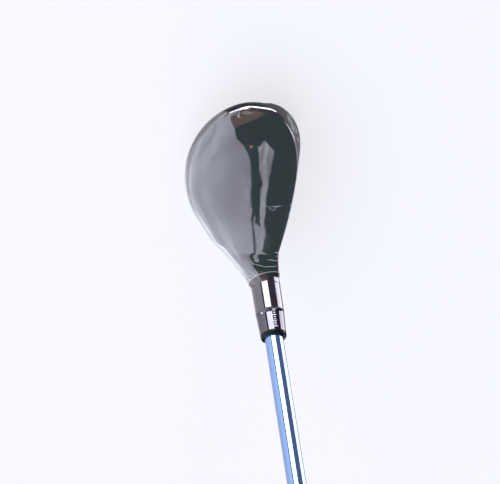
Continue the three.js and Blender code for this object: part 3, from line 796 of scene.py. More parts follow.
def true_normals(mesh):
    """Gives a head piece's outside the directions of the head surface, so panels shade as one."""
    tree = KDTree(GRID.shape[0] * GRID.shape[1])
    flat = GRID.reshape(-1, 3) * MM
    directions = NORMAL.reshape(-1, 3)
    for number, place in enumerate(flat):
        tree.insert(place, number)
    tree.balance()
    known = {}
    for vertex in mesh.vertices:
        _, number, distance = tree.find(vertex.co)
        if distance < 0.0001:
            known[vertex.index] = Vector(directions[number])
    shade(mesh)
    corner_normals = [Vector(item.vector) for item in mesh.corner_normals]
    for polygon in mesh.polygons:
        for corner in polygon.loop_indices:
            direction = known.get(mesh.loops[corner].vertex_index)
            if direction is not None and direction.dot(polygon.normal) > 0.9:
                corner_normals[corner] = direction
    mesh.normals_split_custom_set(corner_normals)


# ------------------------------------------------------------------ head pieces

def panel_cells():
    """Cells of the crown and of the face panel."""
    crown = np.zeros((GRID.shape[0] - 1, GRID.shape[1]), bool)
    face = crown.copy()
    crown[row_of(CROWN_TOE_X):row_of(PANEL_HEEL_X), column_of("crown"):column_of("crown_edge")] = True
    face[row_of(FACE_TOE_X):row_of(PANEL_HEEL_X), column_of("face"):column_of("face_high_edge")] = True
    return crown, face


def gear_angles():
    """Places round the spline: (tooth's angle, offset in half teeth, whether on the tooth)."""
    pitch = 2 * math.pi / SPLINE_TEETH
    places = []
    for tooth in range(SPLINE_TEETH):
        for offset in (-1, -0.97, -0.5, 0, 0.5, 0.97, 1, 1.4, 1.8, 2.2):
            places.append((tooth * pitch, offset, abs(offset) < 1))
    return places


def gear_ring(inner, outer, half_width, height):
    """Ring about the axis that is wider at the teeth; inner and outer may be equal."""
    half = half_width / 6.2
    gap = math.pi / 6 - 2 * half
    ring = []
    for centre, offset, inside in gear_angles():
        if abs(offset) <= 1:
            turn = centre + offset * half
        else:
            turn = centre + (half + (offset - 1) / 1.6 * gap * 1.25)
        radius = outer if inside else inner
        ring.append((radius * math.cos(turn), radius * math.sin(turn), height))
    return np.array(ring)


def bore_cutter():
    """Everything that is cut out of the hosel along the shaft's axis."""
    def round_ring(radius, height):
        return gear_ring(radius, radius, 1.0, height)
    low, high = -70, 30
    rings = [[(0, 0, low)], round_ring(SCREW_POCKET_RADIUS, low),
             round_ring(SCREW_POCKET_RADIUS, SCREW_SEAT),
             round_ring(SCREW_HOLE_RADIUS, SCREW_SEAT), round_ring(SCREW_HOLE_RADIUS, BORE_BOTTOM),
             round_ring(BORE_RADIUS, BORE_BOTTOM), round_ring(BORE_RADIUS, SPLINE_LOW - 0.3),
             gear_ring(BORE_RADIUS, SPLINE_RADIUS + 0.3, 1.0, SPLINE_LOW - 0.3),
             gear_ring(BORE_RADIUS, SPLINE_RADIUS + 0.3, 1.0, high), [(0, 0, high)]]
    points, faces = loft(rings)
    return on_hosel(points), faces


def make_body():
    crown, face = panel_cells()
    keep = ~(crown | face)
    points, faces = walled(keep, WALL, toe=True, inner_end=row_of(PANEL_HEEL_X) + 2)
    body = as_object("head_shell", as_mesh("head_shell", points, faces))
    radius = BUSHING_RADIUS + 0.3
    hole, hole_faces = turned([(0, -10), (radius, -10), (radius, 6), (0, 6)], radius=0)
    cut_away(body, [bore_cutter(), (on_weight(hole), hole_faces)])
    true_normals(body.data)
    return finished(body, "head", "body_black", "head_body")


def shrunk(rows, columns):
    """Grid whose points at the given first and last rows and columns are drawn in by the seam gap."""
    grid = GRID.copy()
    for row, inward in ((rows[0], 1), (rows[1], -1)):
        step = GRID[row + inward] - GRID[row]
        grid[row] += step / np.linalg.norm(step, axis=1, keepdims=True) * SEAM_GAP
    for column, inward in ((columns[0], 1), (columns[1], -1)):
        step = GRID[:, column + inward] - GRID[:, column]
        length = np.maximum(1e-9, np.linalg.norm(step, axis=1, keepdims=True))
        grid[:, column] += step / length * SEAM_GAP
    return grid


def make_crown():
    crown, _ = panel_cells()
    grid = shrunk((row_of(CROWN_TOE_X), row_of(PANEL_HEEL_X)),
                  (column_of("crown"), column_of("crown_edge")))
    points, faces = walled(crown, CROWN_WALL, outer=grid)
    piece = as_object("crown_panel", as_mesh("crown_panel", points, faces))
    true_normals(piece.data)
    return finished(piece, "head", "crown_gloss", "crown")


def make_face(settings):
    """Face panel with scored lines; its section is straight, so it has its own finer rows of points."""
    depth = settings.score_depth / MM
    rows = list(range(row_of(FACE_TOE_X), row_of(PANEL_HEEL_X) + 1))
    columns = 96
    grid = np.zeros((len(rows), columns + 1, 3))
    for number, row in enumerate(rows):
        x = STATIONS[row]
        top, lead, *_ = section_points(x)
        _, t1, t2, _ = face_shares(x, top, lead)
        length = float(np.linalg.norm(lead - top))
        gap = SEAM_GAP / length
        _, angles = section_row(x)
        for column in range(columns + 1):
            share = mix(t1 + gap, t2 - gap, column / columns)
            point = mix(top, lead, share)
            amount = BLEND_AT_BEND * ease((BLEND_START_X - x) / (BLEND_START_X - HEEL_X))
            angle = math.radians(140 + 80 * share)
            neck = np.array([HOSEL_Y + NECK_RADIUS * math.cos(angle),
                             PIVOT_Z - AXIS_DISTANCE + NECK_RADIUS * math.sin(angle)])
            point = mix(point, neck, amount)
            from_line = abs((point[1] / math.cos(LOFT) - 2) % SCORE_SPACING - SCORE_SPACING / 2)
            scored = SCORE_LOW < point[1] < SCORE_HIGH and SCORE_HEEL_X < x < SCORE_TOE_X
            sink = depth * clamp(1.6 * (1 - from_line / SCORE_HALF_WIDTH)) if scored else 0
            grid[number, column] = (x, point[0] + sink * math.cos(LOFT), point[1] - sink * math.sin(LOFT))
    inward = np.array([0, math.cos(LOFT), -math.sin(LOFT)])
    outside = grid.reshape(-1, 3)
    back = (grid + inward * FACE_WALL).reshape(-1, 3)
    count = len(outside)
    faces = []
    wide = columns + 1
    for row in range(len(rows) - 1):
        for column in range(columns):
            first = row * wide + column
            ring = (first, first + wide, first + wide + 1, first + 1)
            faces.append(ring)
            faces.append(tuple(count + corner for corner in reversed(ring)))
    last = (len(rows) - 1) * wide
    for column in range(columns):
        faces.append((column, column + 1, count + column + 1, count + column))
        faces.append((last + column + 1, last + column, count + last + column, count + last + column + 1))
    for row in range(len(rows) - 1):
        first = row * wide
        faces.append((first + wide, first, count + first, count + first + wide))
        first += columns
        faces.append((first, first + wide, count + first + wide, count + first))
    piece = as_object("face_panel", as_mesh("face_panel", np.concatenate([outside, back]), faces))
    shade(piece.data, 20)
    return finished(piece, "head", "face_steel", "face_plate")


# ------------------------------------------------------------------ film

def slow_waves(points):
    """Smooth uneven height between -1 and 1 over the head."""
    x, y, z = points[..., 0], points[..., 1], points[..., 2]
    return (np.sin(0.31 * x + 0.17 * y + 1.3) * np.sin(0.23 * y - 0.19 * z + 0.4) * 0.5
            + np.sin(0.71 * x - 0.43 * y + 2.1) * np.sin(0.52 * y + 0.61 * z) * 0.3
            + np.sin(1.31 * x + 0.9 * z) * np.sin(1.13 * y - 0.7 * x) * 0.2)


def film_grid():
    """The head's rows, the last ones drawn in so that the film ends at its slanted edge on the neck."""
    start = len(STATIONS) - 4
    last = GRID.shape[0] - 1
    tilt = np.array([0, -math.sin(FILM_NECK_SLANT), math.cos(FILM_NECK_SLANT)])
    local = (GRID - HOSEL_PLACE) @ HOSEL_AXES.T
    height = local @ tilt - FILM_NECK_EDGE * tilt[2]
    count = GRID.shape[0] - start
    grid = np.zeros((start + FILM_NECK_ROWS, GRID.shape[1], 3))
    grid[:start] = GRID[:start]
    for column in range(GRID.shape[1]):
        crossing = start
        while crossing < GRID.shape[0] - 2 and height[crossing + 1, column] < 0:
            crossing += 1
        share = -height[crossing, column] / (height[crossing + 1, column] - height[crossing, column])
        end = min(count - 1, crossing - start + share)
        for step in range(FILM_NECK_ROWS):
            place = start + end * step / (FILM_NECK_ROWS - 1)
            low = int(place)
            above = GRID[min(low + 1, last), column]
            grid[start + step, column] = mix(GRID[low, column], above, place - low)
    ahead = np.concatenate([grid[1:], grid[-1:]])
    behind = np.concatenate([np.broadcast_to([[TOE_X, TOE_Y, TOE_Z]], grid[:1].shape), grid[:-1]])
    return grid, outward(ahead - behind, np.roll(grid, -1, 1) - np.roll(grid, 1, 1))


def make_film(settings):
    grid, normal = film_grid()
    waves = slow_waves(grid)[..., None] * settings.film_waves / MM
    outer = grid + normal * (FILM_LIFT + waves)
    keep = np.ones((grid.shape[0] - 1, grid.shape[1]), bool)
    points, faces = walled(keep, settings.film_thickness / MM, toe=True, outer=outer, normal=normal)
    lifted = len(points) - 2
    points[lifted] += [FILM_LIFT, 0, 0]
    points[lifted + 1] += [FILM_LIFT, 0, 0]
    film = as_object("film_cover", as_mesh("film_cover", points, faces))
    x, y, half_x, half_y = FILM_OPENING
    outline = circle(1, 0, 72) * [half_x, half_y, 1] + [x, y, 0]
    opening = loft([[(x, y, -20)], outline + [0, 0, -20], outline + [0, 0, 10], [(x, y, 10)]])
    cut_away(film, [opening])
    shade(film.data, 50)
    return finished(film, "head", "clear_film", "shrink_film")


# Pleats of the film: start and end (x, y) over the head, width and relative height
PLEATS = [
    ((-31.6, 8.6), (-32.3, 4.9), 0.22, 0.5), ((-32.0, 5.9), (-32.6, 1.0), 0.34, 0.8),
    ((-32.6, 2.0), (-32.4, -6.4), 0.36, 0.9), ((-29.0, 0.4), (-29.9, -6.4), 0.4, 0.9),
    ((-27.0, -4.0), (-27.7, -7.0), 0.3, 0.7), ((-24.6, -2.6), (-25.4, -6.6), 0.4, 0.8),
    ((-23.2, -4.6), (-23.6, -6.6), 0.3, 0.7), ((-20.8, -4.4), (-21.6, -6.4), 0.35, 0.8),
    ((3.0, 11.4), (0.8, 5.6), 0.22, 1.0), ((1.2, 6.2), (2.3, -0.8), 0.24, 1.2),
    ((1.9, 2.2), (-0.9, 3.6), 0.24, 1.0), ((-0.9, 3.6), (0.6, 6.2), 0.20, 0.8),
    ((17.1, 23.8), (15.2, 21.2), 0.20, 0.5), ((12.9, 21.8), (11.0, 20.5), 0.22, 0.6),
    ((9.0, 20.1), (7.3, 17.4), 0.24, 0.7), ((7.7, 18.9), (4.6, 18.4), 0.20, 0.6),
    ((5.4, 17.6), (3.4, 16.4), 0.2, 0.5), ((14.2, 19.6), (13.4, 17.8), 0.2, 0.5),
    ((10.4, 18.4), (9.4, 16.9), 0.18, 0.4),
    ((18.6, 36.6), (18.2, 36.0), 0.30, 0.6), ((21.3, 27.2), (20.7, 26.8), 0.3, 0.6),
    ((-15.5, 26.0), (-16.4, 24.9), 0.40, 0.7), ((-18.0, 23.8), (-18.6, 23.2), 0.35, 0.6),
    ((46.0, 27.4), (43.2, 28.0), 0.35, 0.8), ((44.6, 29.6), (43.6, 26.4), 0.22, 0.6),
    ((46.6, 25.0), (46.5, 20.5), 0.22, 0.5), ((45.8, 26.5), (45.8, 22.0), 0.2, 0.4),
    ((11.8, 44.6), (11.1, 43.2), 0.45, 0.8), ((9.6, 44.7), (9.1, 43.4), 0.45, 0.8),
    ((42.2, 0.5), (43.2, -0.9), 0.6, 1.8), ((39.5, -1.0), (40.8, -2.8), 0.5, 1.6),
    ((41.4, -3.4), (42.2, -5.0), 0.45, 1.6), ((38.2, -1.8), (38.9, -3.9), 0.5, 1.6),
    ((36.9, -4.6), (37.3, -6.2), 0.4, 1.4), ((34.6, -6.2), (35.2, -8.0), 0.45, 1.7),
    ((32.0, -6.8), (31.8, -8.6), 0.5, 1.8), ((29.2, -8.8), (29.6, -10.0), 0.4, 1.5),
    ((29.5, -3.9), (29.6, -4.7), 0.5, 1.0), ((19.4, -7.2), (19.6, -8.2), 0.3, 0.8),
    ((3.2, -4.0), (2.8, -5.6), 0.4, 1.2), ((-1.7, -4.2), (-1.9, -5.4), 0.35, 1.0),
    ((-8.5, -4.6), (-8.8, -5.4), 0.3, 0.6),
]


def make_pleats(settings):
    """Small creases of the film: lens-shaped welts that follow the head."""
    graph = bpy.context.evaluated_depsgraph_get()
    film_tree = BVHTree.FromObject(bpy.data.objects["film_cover"], graph)
    spans = [(Vector((a[0], a[1], 90)), Vector((b[0], b[1], 90)), width, height)
             for a, b, width, height in PLEATS]
    points, faces = [], []
    segments = 14
    for start, end, width, height in spans:
        path = []
        for step in range(segments + 1):
            guess = start.lerp(end, step / segments) * MM
            place, direction, _, _ = film_tree.ray_cast(guess, Vector((0, 0, -1)))
            if place is None:
                place, direction, _, _ = film_tree.find_nearest(Vector((guess.x, guess.y, 0.02)))
            path.append((np.array(place) / MM, np.array(direction)))
        first = len(points)
        for step, (place, direction) in enumerate(path):
            nearby = path[min(step + 1, segments)][0] - path[max(step - 1, 0)][0]
            across = np.cross(direction, nearby)
            across /= max(1e-9, np.linalg.norm(across))
            share = math.sin(math.pi * step / segments)
            wobble = across * 0.12 * math.sin(5 * step / segments * math.pi + width * 40)
            half = 0.5 * width * max(0.05, share ** 0.7)
            rise = settings.pleat_height / MM * height * share
            flank = 0.8 * rise
            section = ((1, -0.01), (0.45, flank), (0, rise), (-0.45, flank), (-1, -0.01), (0, -0.03))
            for side, lift in section:
                points.append(place + wobble + across * half * side + direction * lift)
        for step in range(segments):
            for corner in range(6):
                low = first + step * 6 + corner
                low_next = first + step * 6 + (corner + 1) % 6
                faces.append((low, low + 6, low_next + 6, low_next))
        faces.append(tuple(first + corner for corner in range(6)))
        faces.append(tuple(first + segments * 6 + corner for corner in reversed(range(6))))
    # rolled edge of the film round the neck
    grid, normal = film_grid()
    edge = grid[-1] + normal[-1] * (FILM_LIFT - 0.02)
    along = np.roll(edge, -1, 0) - np.roll(edge, 1, 0)
    along /= np.linalg.norm(along, axis=1, keepdims=True)
    out = normal[-2] - along * np.sum(normal[-2] * along, axis=1, keepdims=True)
    out /= np.linalg.norm(out, axis=1, keepdims=True)
    side = np.cross(along, out)
    corners = [math.pi * 2 * step / 8 for step in range(8)]
    rings = [edge + (out * math.cos(turn) + side * math.sin(turn)) * FILM_EDGE_ROLL for turn in corners]
    rim_points, rim_faces = loft(rings, closed=True)
    faces += [tuple(corner + len(points) for corner in face) for face in rim_faces]
    points += rim_points.tolist()
    pleats = as_object("film_pleats", as_mesh("film_pleats", points, faces))
    recalculated(pleats.data)
    shade(pleats.data, 60)
    return finished(pleats, "head", "clear_film", material="film_pleat")


def recalculated(mesh):
    """Turns the faces of closed shells outwards."""
    work = bmesh.new()
    work.from_mesh(mesh)
    bmesh.ops.recalc_face_normals(work, faces=work.faces)
    work.to_mesh(mesh)
    work.free()


# ------------------------------------------------------------------ geometry node trees

def geometry_tree(name, inputs):
    """A Geometry Nodes tree with named inputs and one geometry output."""
    tree = bpy.data.node_groups.new(name, "GeometryNodeTree")
    for label, kind, default in inputs:
        socket = tree.interface.new_socket(label, in_out="INPUT", socket_type=f"NodeSocket{kind}")
        if default is not None:
            socket.default_value = default
    tree.interface.new_socket("Geometry", in_out="OUTPUT", socket_type="NodeSocketGeometry")
    source = tree.nodes.new("NodeGroupInput").outputs
    return tree, source


def close_tree(tree, geometry, material):
    """Ends a tree in Realize Instances and Set Material."""
    real = put(tree, "GeometryNodeRealizeInstances", {0: geometry}).outputs[0]
    done = put(tree, "GeometryNodeSetMaterial", {"Geometry": real, "Material": material})
    tree.links.new(done.outputs[0], tree.nodes.new("NodeGroupOutput").inputs["Geometry"])


def grown(name, tree, values):
    """Runs a tree on an empty mesh and returns the plain result."""
    piece = as_object(name, bpy.data.meshes.new(name))
    modifier = piece.modifiers.new("growth", "NODES")
    modifier.node_group = tree
    for item in tree.interface.items_tree:
        if item.item_type == "SOCKET" and item.in_out == "INPUT" and item.name in values:
            modifier[item.identifier] = values[item.name]
    return applied(piece)


def moved(mesh, place):
    """Moves a mesh that was grown about the local axis, in metres, into the row frame."""
    count = len(mesh.vertices)
    flat = np.zeros(count * 3)
    mesh.vertices.foreach_get("co", flat)
    flat = place(flat.reshape(-1, 3) / MM) * MM
    mesh.vertices.foreach_set("co", flat.reshape(-1))
    mesh.update()


def stud_tree():
    """Rows of small lozenges on a tapering round grip."""
    tree, source = geometry_tree("grip_studs", [
        ("Rows", "Int", 70), ("Columns", "Int", 20), ("Start", "Float", 0.72), ("Length", "Float", 0.24),
        ("Start Radius", "Float", 0.0095), ("End Radius", "Float", 0.013), ("Size", "Float", 0.0026),
        ("Material", "Material", None)])
    grid = put(tree, "GeometryNodeMeshGrid", {
        "Size X": 1.0, "Size Y": 1.0, "Vertices X": source["Rows"], "Vertices Y": source["Columns"]})
    flat_place = put(tree, "GeometryNodeInputPosition").outputs[0]
    place = put(tree, "ShaderNodeSeparateXYZ", {0: flat_place}).outputs
    share = calc(tree, "ADD", place[0], 0.5)
    number = put(tree, "GeometryNodeInputIndex").outputs[0]
    row = calc(tree, "FLOOR", calc(tree, "DIVIDE", number, source["Columns"]))
    odd = calc(tree, "MODULO", row, 2.0)
    shift = calc(tree, "MULTIPLY", odd, 0.5)
    column = calc(tree, "ADD", calc(tree, "MODULO", number, source["Columns"]), shift)
    turn = calc(tree, "DIVIDE", calc(tree, "MULTIPLY", column, 2 * math.pi), source["Columns"])
    widening = calc(tree, "SUBTRACT", source["End Radius"], source["Start Radius"])
    radius = calc(tree, "ADD", source["Start Radius"], calc(tree, "MULTIPLY", share, widening))
    height = calc(tree, "ADD", source["Start"], calc(tree, "MULTIPLY", share, source["Length"]))
    out = put(tree, "ShaderNodeCombineXYZ", {
        0: calc(tree, "COSINE", turn), 1: calc(tree, "SINE", turn), 2: 0.0}).outputs[0]
    flat = put(tree, "ShaderNodeVectorMath", {0: out, "Scale": radius}, operation="SCALE").outputs[0]
    up = put(tree, "ShaderNodeCombineXYZ", {0: 0.0, 1: 0.0, 2: height}).outputs[0]
    spot = put(tree, "ShaderNodeVectorMath", {0: flat, 1: up}, operation="ADD").outputs[0]
    spread = put(tree, "GeometryNodeSetPosition", {
        "Geometry": grid.outputs[0], "Position": spot}).outputs[0]
    kept = put(tree, "GeometryNodeStoreNamedAttribute", {
        "Geometry": spread, "Name": "outward", "Value": out},
        data_type="FLOAT_VECTOR", domain="POINT").outputs[0]
    ahead = put(tree, "GeometryNodeInputNamedAttribute", {"Name": "outward"},
                data_type="FLOAT_VECTOR").outputs[0]
    facing = put(tree, "FunctionNodeAlignEulerToVector", {"Vector": ahead}, axis="X").outputs[0]
    stud = put(tree, "GeometryNodeMeshIcoSphere", {"Radius": 1.0, "Subdivisions": 1}).outputs[0]
    long = calc(tree, "MULTIPLY", source["Size"], 0.5)
    wide = calc(tree, "MULTIPLY", source["Size"], 0.26)
    deep = calc(tree, "MULTIPLY", source["Size"], 0.10)
    size = put(tree, "ShaderNodeCombineXYZ", {0: deep, 1: wide, 2: long}).outputs[0]
    studs = put(tree, "GeometryNodeInstanceOnPoints", {
        "Points": kept, "Instance": stud, "Rotation": facing, "Scale": size}).outputs[0]
    close_tree(tree, studs, source["Material"])
    return tree


def tick_tree():
    """A row of short ticks along the axis, each third one longer."""
    tree, source = geometry_tree("tick_scale", [
        ("Count", "Int", 12), ("Spacing", "Float", 0.0008), ("Length", "Float", 0.0011),
        ("Material", "Material", None)])
    step = put(tree, "ShaderNodeCombineXYZ", {0: 0.0, 1: 0.0, 2: source["Spacing"]}).outputs[0]
    line = put(tree, "GeometryNodeMeshLine", {"Count": source["Count"], "Offset": step}).outputs[0]
    tick = put(tree, "GeometryNodeMeshCube", {
        "Size": (0.00006, 1.0, 0.00042), "Vertices X": 2, "Vertices Y": 5, "Vertices Z": 2}).outputs[0]
    number = put(tree, "GeometryNodeInputIndex").outputs[0]
    third = calc(tree, "COMPARE", calc(tree, "MODULO", number, 3.0), 0.0, 0.1)
    share = calc(tree, "ADD", 0.6, calc(tree, "MULTIPLY", third, 0.4))
    length = calc(tree, "MULTIPLY", source["Length"], share)
    size = put(tree, "ShaderNodeCombineXYZ", {0: 1.0, 1: length, 2: 1.0}).outputs[0]
    ticks = put(tree, "GeometryNodeInstanceOnPoints", {
        "Points": line, "Instance": tick, "Scale": size}).outputs[0]
    close_tree(tree, ticks, source["Material"])
    return tree


def thread_tree():
    """A screw thread: a small profile swept along a helix."""
    tree, source = geometry_tree("screw_thread", [
        ("Turns", "Float", 20.0), ("Radius", "Float", 0.0025), ("Length", "Float", 0.016),
        ("Depth", "Float", 0.0003), ("Material", "Material", None)])
    helix = put(tree, "GeometryNodeCurveSpiral", {
        "Resolution": 24, "Rotations": source["Turns"], "Start Radius": source["Radius"],
        "End Radius": source["Radius"], "Height": source["Length"]}).outputs[0]
    profile = put(tree, "GeometryNodeCurvePrimitiveCircle", {
        "Resolution": 4, "Radius": source["Depth"]}).outputs[0]
    swept = put(tree, "GeometryNodeCurveToMesh", {
        "Curve": helix, "Profile Curve": profile, "Fill Caps": True})
    close_tree(tree, swept.outputs[0], source["Material"])
    return tree


# ------------------------------------------------------------------ hosel fittings, shaft and grip

def merged(target, *others):
    """Adds other objects' meshes to the target's."""
    work = bmesh.new()
    work.from_mesh(target.data)
    for other in others:
        work.from_mesh(other.data)
        bpy.data.objects.remove(other)
    work.to_mesh(target.data)
    work.free()
    return target


def taper(height):
    """Radius of the taper from the hosel's seam to the end of the ferrule."""
    return mix(SEAM_RADIUS, FERRULE_RADIUS, (height - HOSEL_LENGTH) / (FERRULE_END - HOSEL_LENGTH))


def socket_head(outer, low, high, socket, depth, chamfer=0.4, shank=None, tip=None):
    """Turned screw head with a six-sided socket in its low end, and a shank where one is given."""
    count = 96
    angles = np.arange(count) * 2 * math.pi / count
    within = (angles + math.pi / 6) % (math.pi / 3) - math.pi / 6
    six = socket * math.cos(math.pi / 6) / np.cos(within)

    def hexagon(scale, height):
        reach = six * scale
        return np.stack([reach * np.cos(angles), reach * np.sin(angles), np.full(count, height)], 1)

    rings = [[(0, 0, low + depth + 0.5)], hexagon(0.55, low + depth + 0.2), hexagon(1, low + depth),
             hexagon(1, low + 0.25), hexagon(1.12, low), circle(outer - chamfer, low),
             circle(outer, low + chamfer), circle(outer, high - 0.2), circle(outer - 0.2, high)]
    if shank:
        rings += [circle(shank + 0.2, high), circle(shank, high + 0.2), circle(shank, tip - 0.6),
                  circle(shank - 0.6, tip), [(0, 0, tip)]]
    else:
        rings += [[(0, 0, high)]]
    return loft(rings)


def hosel_piece(name, profile, body, slot, node, radius=0.15, segments=96):
    points, faces = turned(profile, radius, segments)
    piece = as_object(name, as_mesh(name, on_hosel(points), faces))
    shade(piece.data)
    return finished(piece, body, slot, node)


def ring_profile(inner, outer, low, high):
    return [(inner, low), (outer, low), (outer, high), (inner, high)]


def make_sleeve():
    """Adapter sleeve: a tapered collar over a splined barrel, open through its middle."""
    bore = TIP_RADIUS + 0.3
    barrel, insert_bore, half_tooth = 5.6, 3.9, 0.7
    outline = [(insert_bore, -11.5), (5.3, -11.5), (barrel, -11.2), (barrel, SPLINE_LOW)]
    rings = [gear_ring(radius, radius, half_tooth, height) for radius, height in outline]
    for radius, height in ((SPLINE_RADIUS - 0.2, SPLINE_LOW), (SPLINE_RADIUS, SPLINE_LOW + 0.3),
                           (SPLINE_RADIUS, SPLINE_HIGH - 0.3), (SPLINE_RADIUS - 0.2, SPLINE_HIGH)):
        rings.append(gear_ring(barrel, radius, half_tooth, height))
    outline = [(barrel, SPLINE_HIGH), (barrel, SLEEVE_SHOULDER), (SEAM_RADIUS - 0.14, SLEEVE_SHOULDER),
               (SEAM_RADIUS - 0.04, SLEEVE_SHOULDER + 0.03), (SEAM_RADIUS - 0.01, SLEEVE_SHOULDER + 0.14)]
    for step in range(7):
        height = mix(SLEEVE_SHOULDER + 0.26, FERRULE_START - 0.32, step / 6)
        outline.append((taper(height), height))
    outline.append((taper(FERRULE_START - 0.22), FERRULE_START - 0.22))
    outline += [(taper(FERRULE_START) - 0.02, FERRULE_START - 0.14), (bore, FERRULE_START - 0.14),
                (bore, -3.2), (insert_bore, -3.2)]
    rings += [gear_ring(radius, radius, half_tooth, height) for radius, height in outline]
    points, faces = loft(rings, closed=True)
    sleeve = as_object("sleeve", as_mesh("sleeve", on_hosel(points), faces))
    shade(sleeve.data)
    return finished(sleeve, "shaft_assembly", "dark_chrome", "adapter_sleeve")


def make_marks(settings):
    """Alignment dot and tick scale on the sleeve's taper."""
    ticks = grown("sleeve_marks", tick_tree(), {
        "Count": settings.tick_count, "Spacing": settings.tick_spacing, "Length": 0.0019,
        "Material": MATERIALS["mark_white"]})
    dot_angle, dot_height = math.radians(56), 16.7
    scale_angle = math.radians(5)

    def on_taper(angle, start):
        def place(points):
            height = points[:, 2] + start
            radius = np.array([taper(value) for value in height]) + points[:, 0] + 0.02
            turn = angle + points[:, 1] / radius
            return on_hosel(np.stack([radius * np.cos(turn), radius * np.sin(turn), height], 1))
        return place

    moved(ticks.data, on_taper(scale_angle, 15.9))
    disc_rings = [[(-0.04, 0, 0)]]
    for lift, size in ((-0.04, 0.40), (0.02, 0.38), (0.03, 0.3)):
        ring = circle(size, 0, 32)
        disc_rings.append(np.stack([np.full(32, lift), ring[:, 0], ring[:, 1]], 1))
    disc_rings.append([(0.035, 0, 0)])
    points, faces = loft(disc_rings)
    dot = as_object("sleeve_dot", as_mesh("sleeve_dot", on_taper(dot_angle, dot_height)(points), faces))
    marks = merged(ticks, dot)
    recalculated(marks.data)
    shade(marks.data, 40)
    return finished(marks, "shaft_assembly", "dark_chrome", material="mark_white")


def make_screw():
    """Hosel screw with its socket and swept thread."""
    top = SCREW_SEAT - 1.2
    points, faces = socket_head(4.1, top - 3.2, top, 2.2, 2.4, shank=2.3, tip=-4.5)
    screw = as_object("hosel_bolt", as_mesh("hosel_bolt", on_hosel(points), faces))
    thread = grown("thread", thread_tree(), {
        "Turns": 19.0, "Radius": 0.00225, "Length": 0.0153, "Depth": 0.00024,
        "Material": MATERIALS["steel"]})
    moved(thread.data, lambda spots: on_hosel(spots + [0, 0, -20.6]))
    merged(screw, thread)
    shade(screw.data)
    return finished(screw, "screw", "steel", "hosel_screw")


def make_hosel_fittings():
    washer_high = SCREW_SEAT - 0.3
    hosel_piece("seat_washer", ring_profile(3.1, 4.4, washer_high - 0.6, washer_high), "head", "steel",
                "screw_washer")
    hosel_piece("retainer", [(2.8, -13.2), (4.3, -13.2), (4.6, -12.9), (4.6, -12.5), (4.3, -12.2),
                             (2.8, -12.2)], "screw", "nylon", "screw_retainer")
    hosel_piece("seal_ring", ring_profile(6.2, 7.2, 14.62, 14.92), "lift_ring", "seal_black",
                "hosel_ring", radius=0.12)
    hosel_piece("threaded_insert", ring_profile(2.8, 3.6, -11.3, -3.4), "shaft_assembly", "steel",
                "sleeve_insert", radius=0.25)
    bore = TIP_RADIUS + 0.12
    hosel_piece("ferrule_ring", [
        (bore, FERRULE_START), (taper(FERRULE_START) - 0.02, FERRULE_START), (taper(27.9), 27.9),
        (FERRULE_RADIUS, FERRULE_END - 0.45), (FERRULE_RADIUS - 0.35, FERRULE_END),
        (TIP_RADIUS + 0.55, FERRULE_END - 0.15), (bore, FERRULE_END - 0.5)],
        "shaft_assembly", "ferrule_black", "ferrule", radius=0.2)


def make_shaft():
    profile = [(2.6, -2.5), (TIP_RADIUS - 0.15, -2.5)]
    profile += [(TIP_RADIUS, height) for height in (-2.2, -2, 0, 10, 30, 60, 90)]
    for step in range(0, 41):
        height = mix(TAPER_START, BUTT_START, step / 40)
        profile.append((mix(TIP_RADIUS, BUTT_RADIUS, ease(step / 40) * 0.15 + step / 40 * 0.85), height))
    profile += [(BUTT_RADIUS, SHAFT_END), (6.5, SHAFT_END), (6.5, BUTT_START), (2.6, TAPER_START)]
    points, faces = turned(profile, radius=0, segments=128)
    shaft = as_object("shaft_tube", as_mesh("shaft_tube", on_hosel(points), faces))
    shade(shaft.data)
    finished(shaft, "shaft_assembly", "blue_shaft", "shaft")
    hosel_piece("cork_plug", [(0, -2), (2.1, -2), (2.2, -1.6), (2.2, 8.6), (2.0, 9), (0, 9)],
                "shaft_assembly", "cork", "tip_plug", radius=0.1, segments=48)


def grip_radius(height):
    """Outer radius of the grip along the shaft."""
    share = (height - GRIP_START) / (GRIP_END - GRIP_START)
    places = [0, 0.0075, 0.55, 0.93, 0.981, 1]
    radii = [8.9, 9.3, 11.05, 12.4, 13.2, 13.2]
    return float(np.interp(share, places, radii))


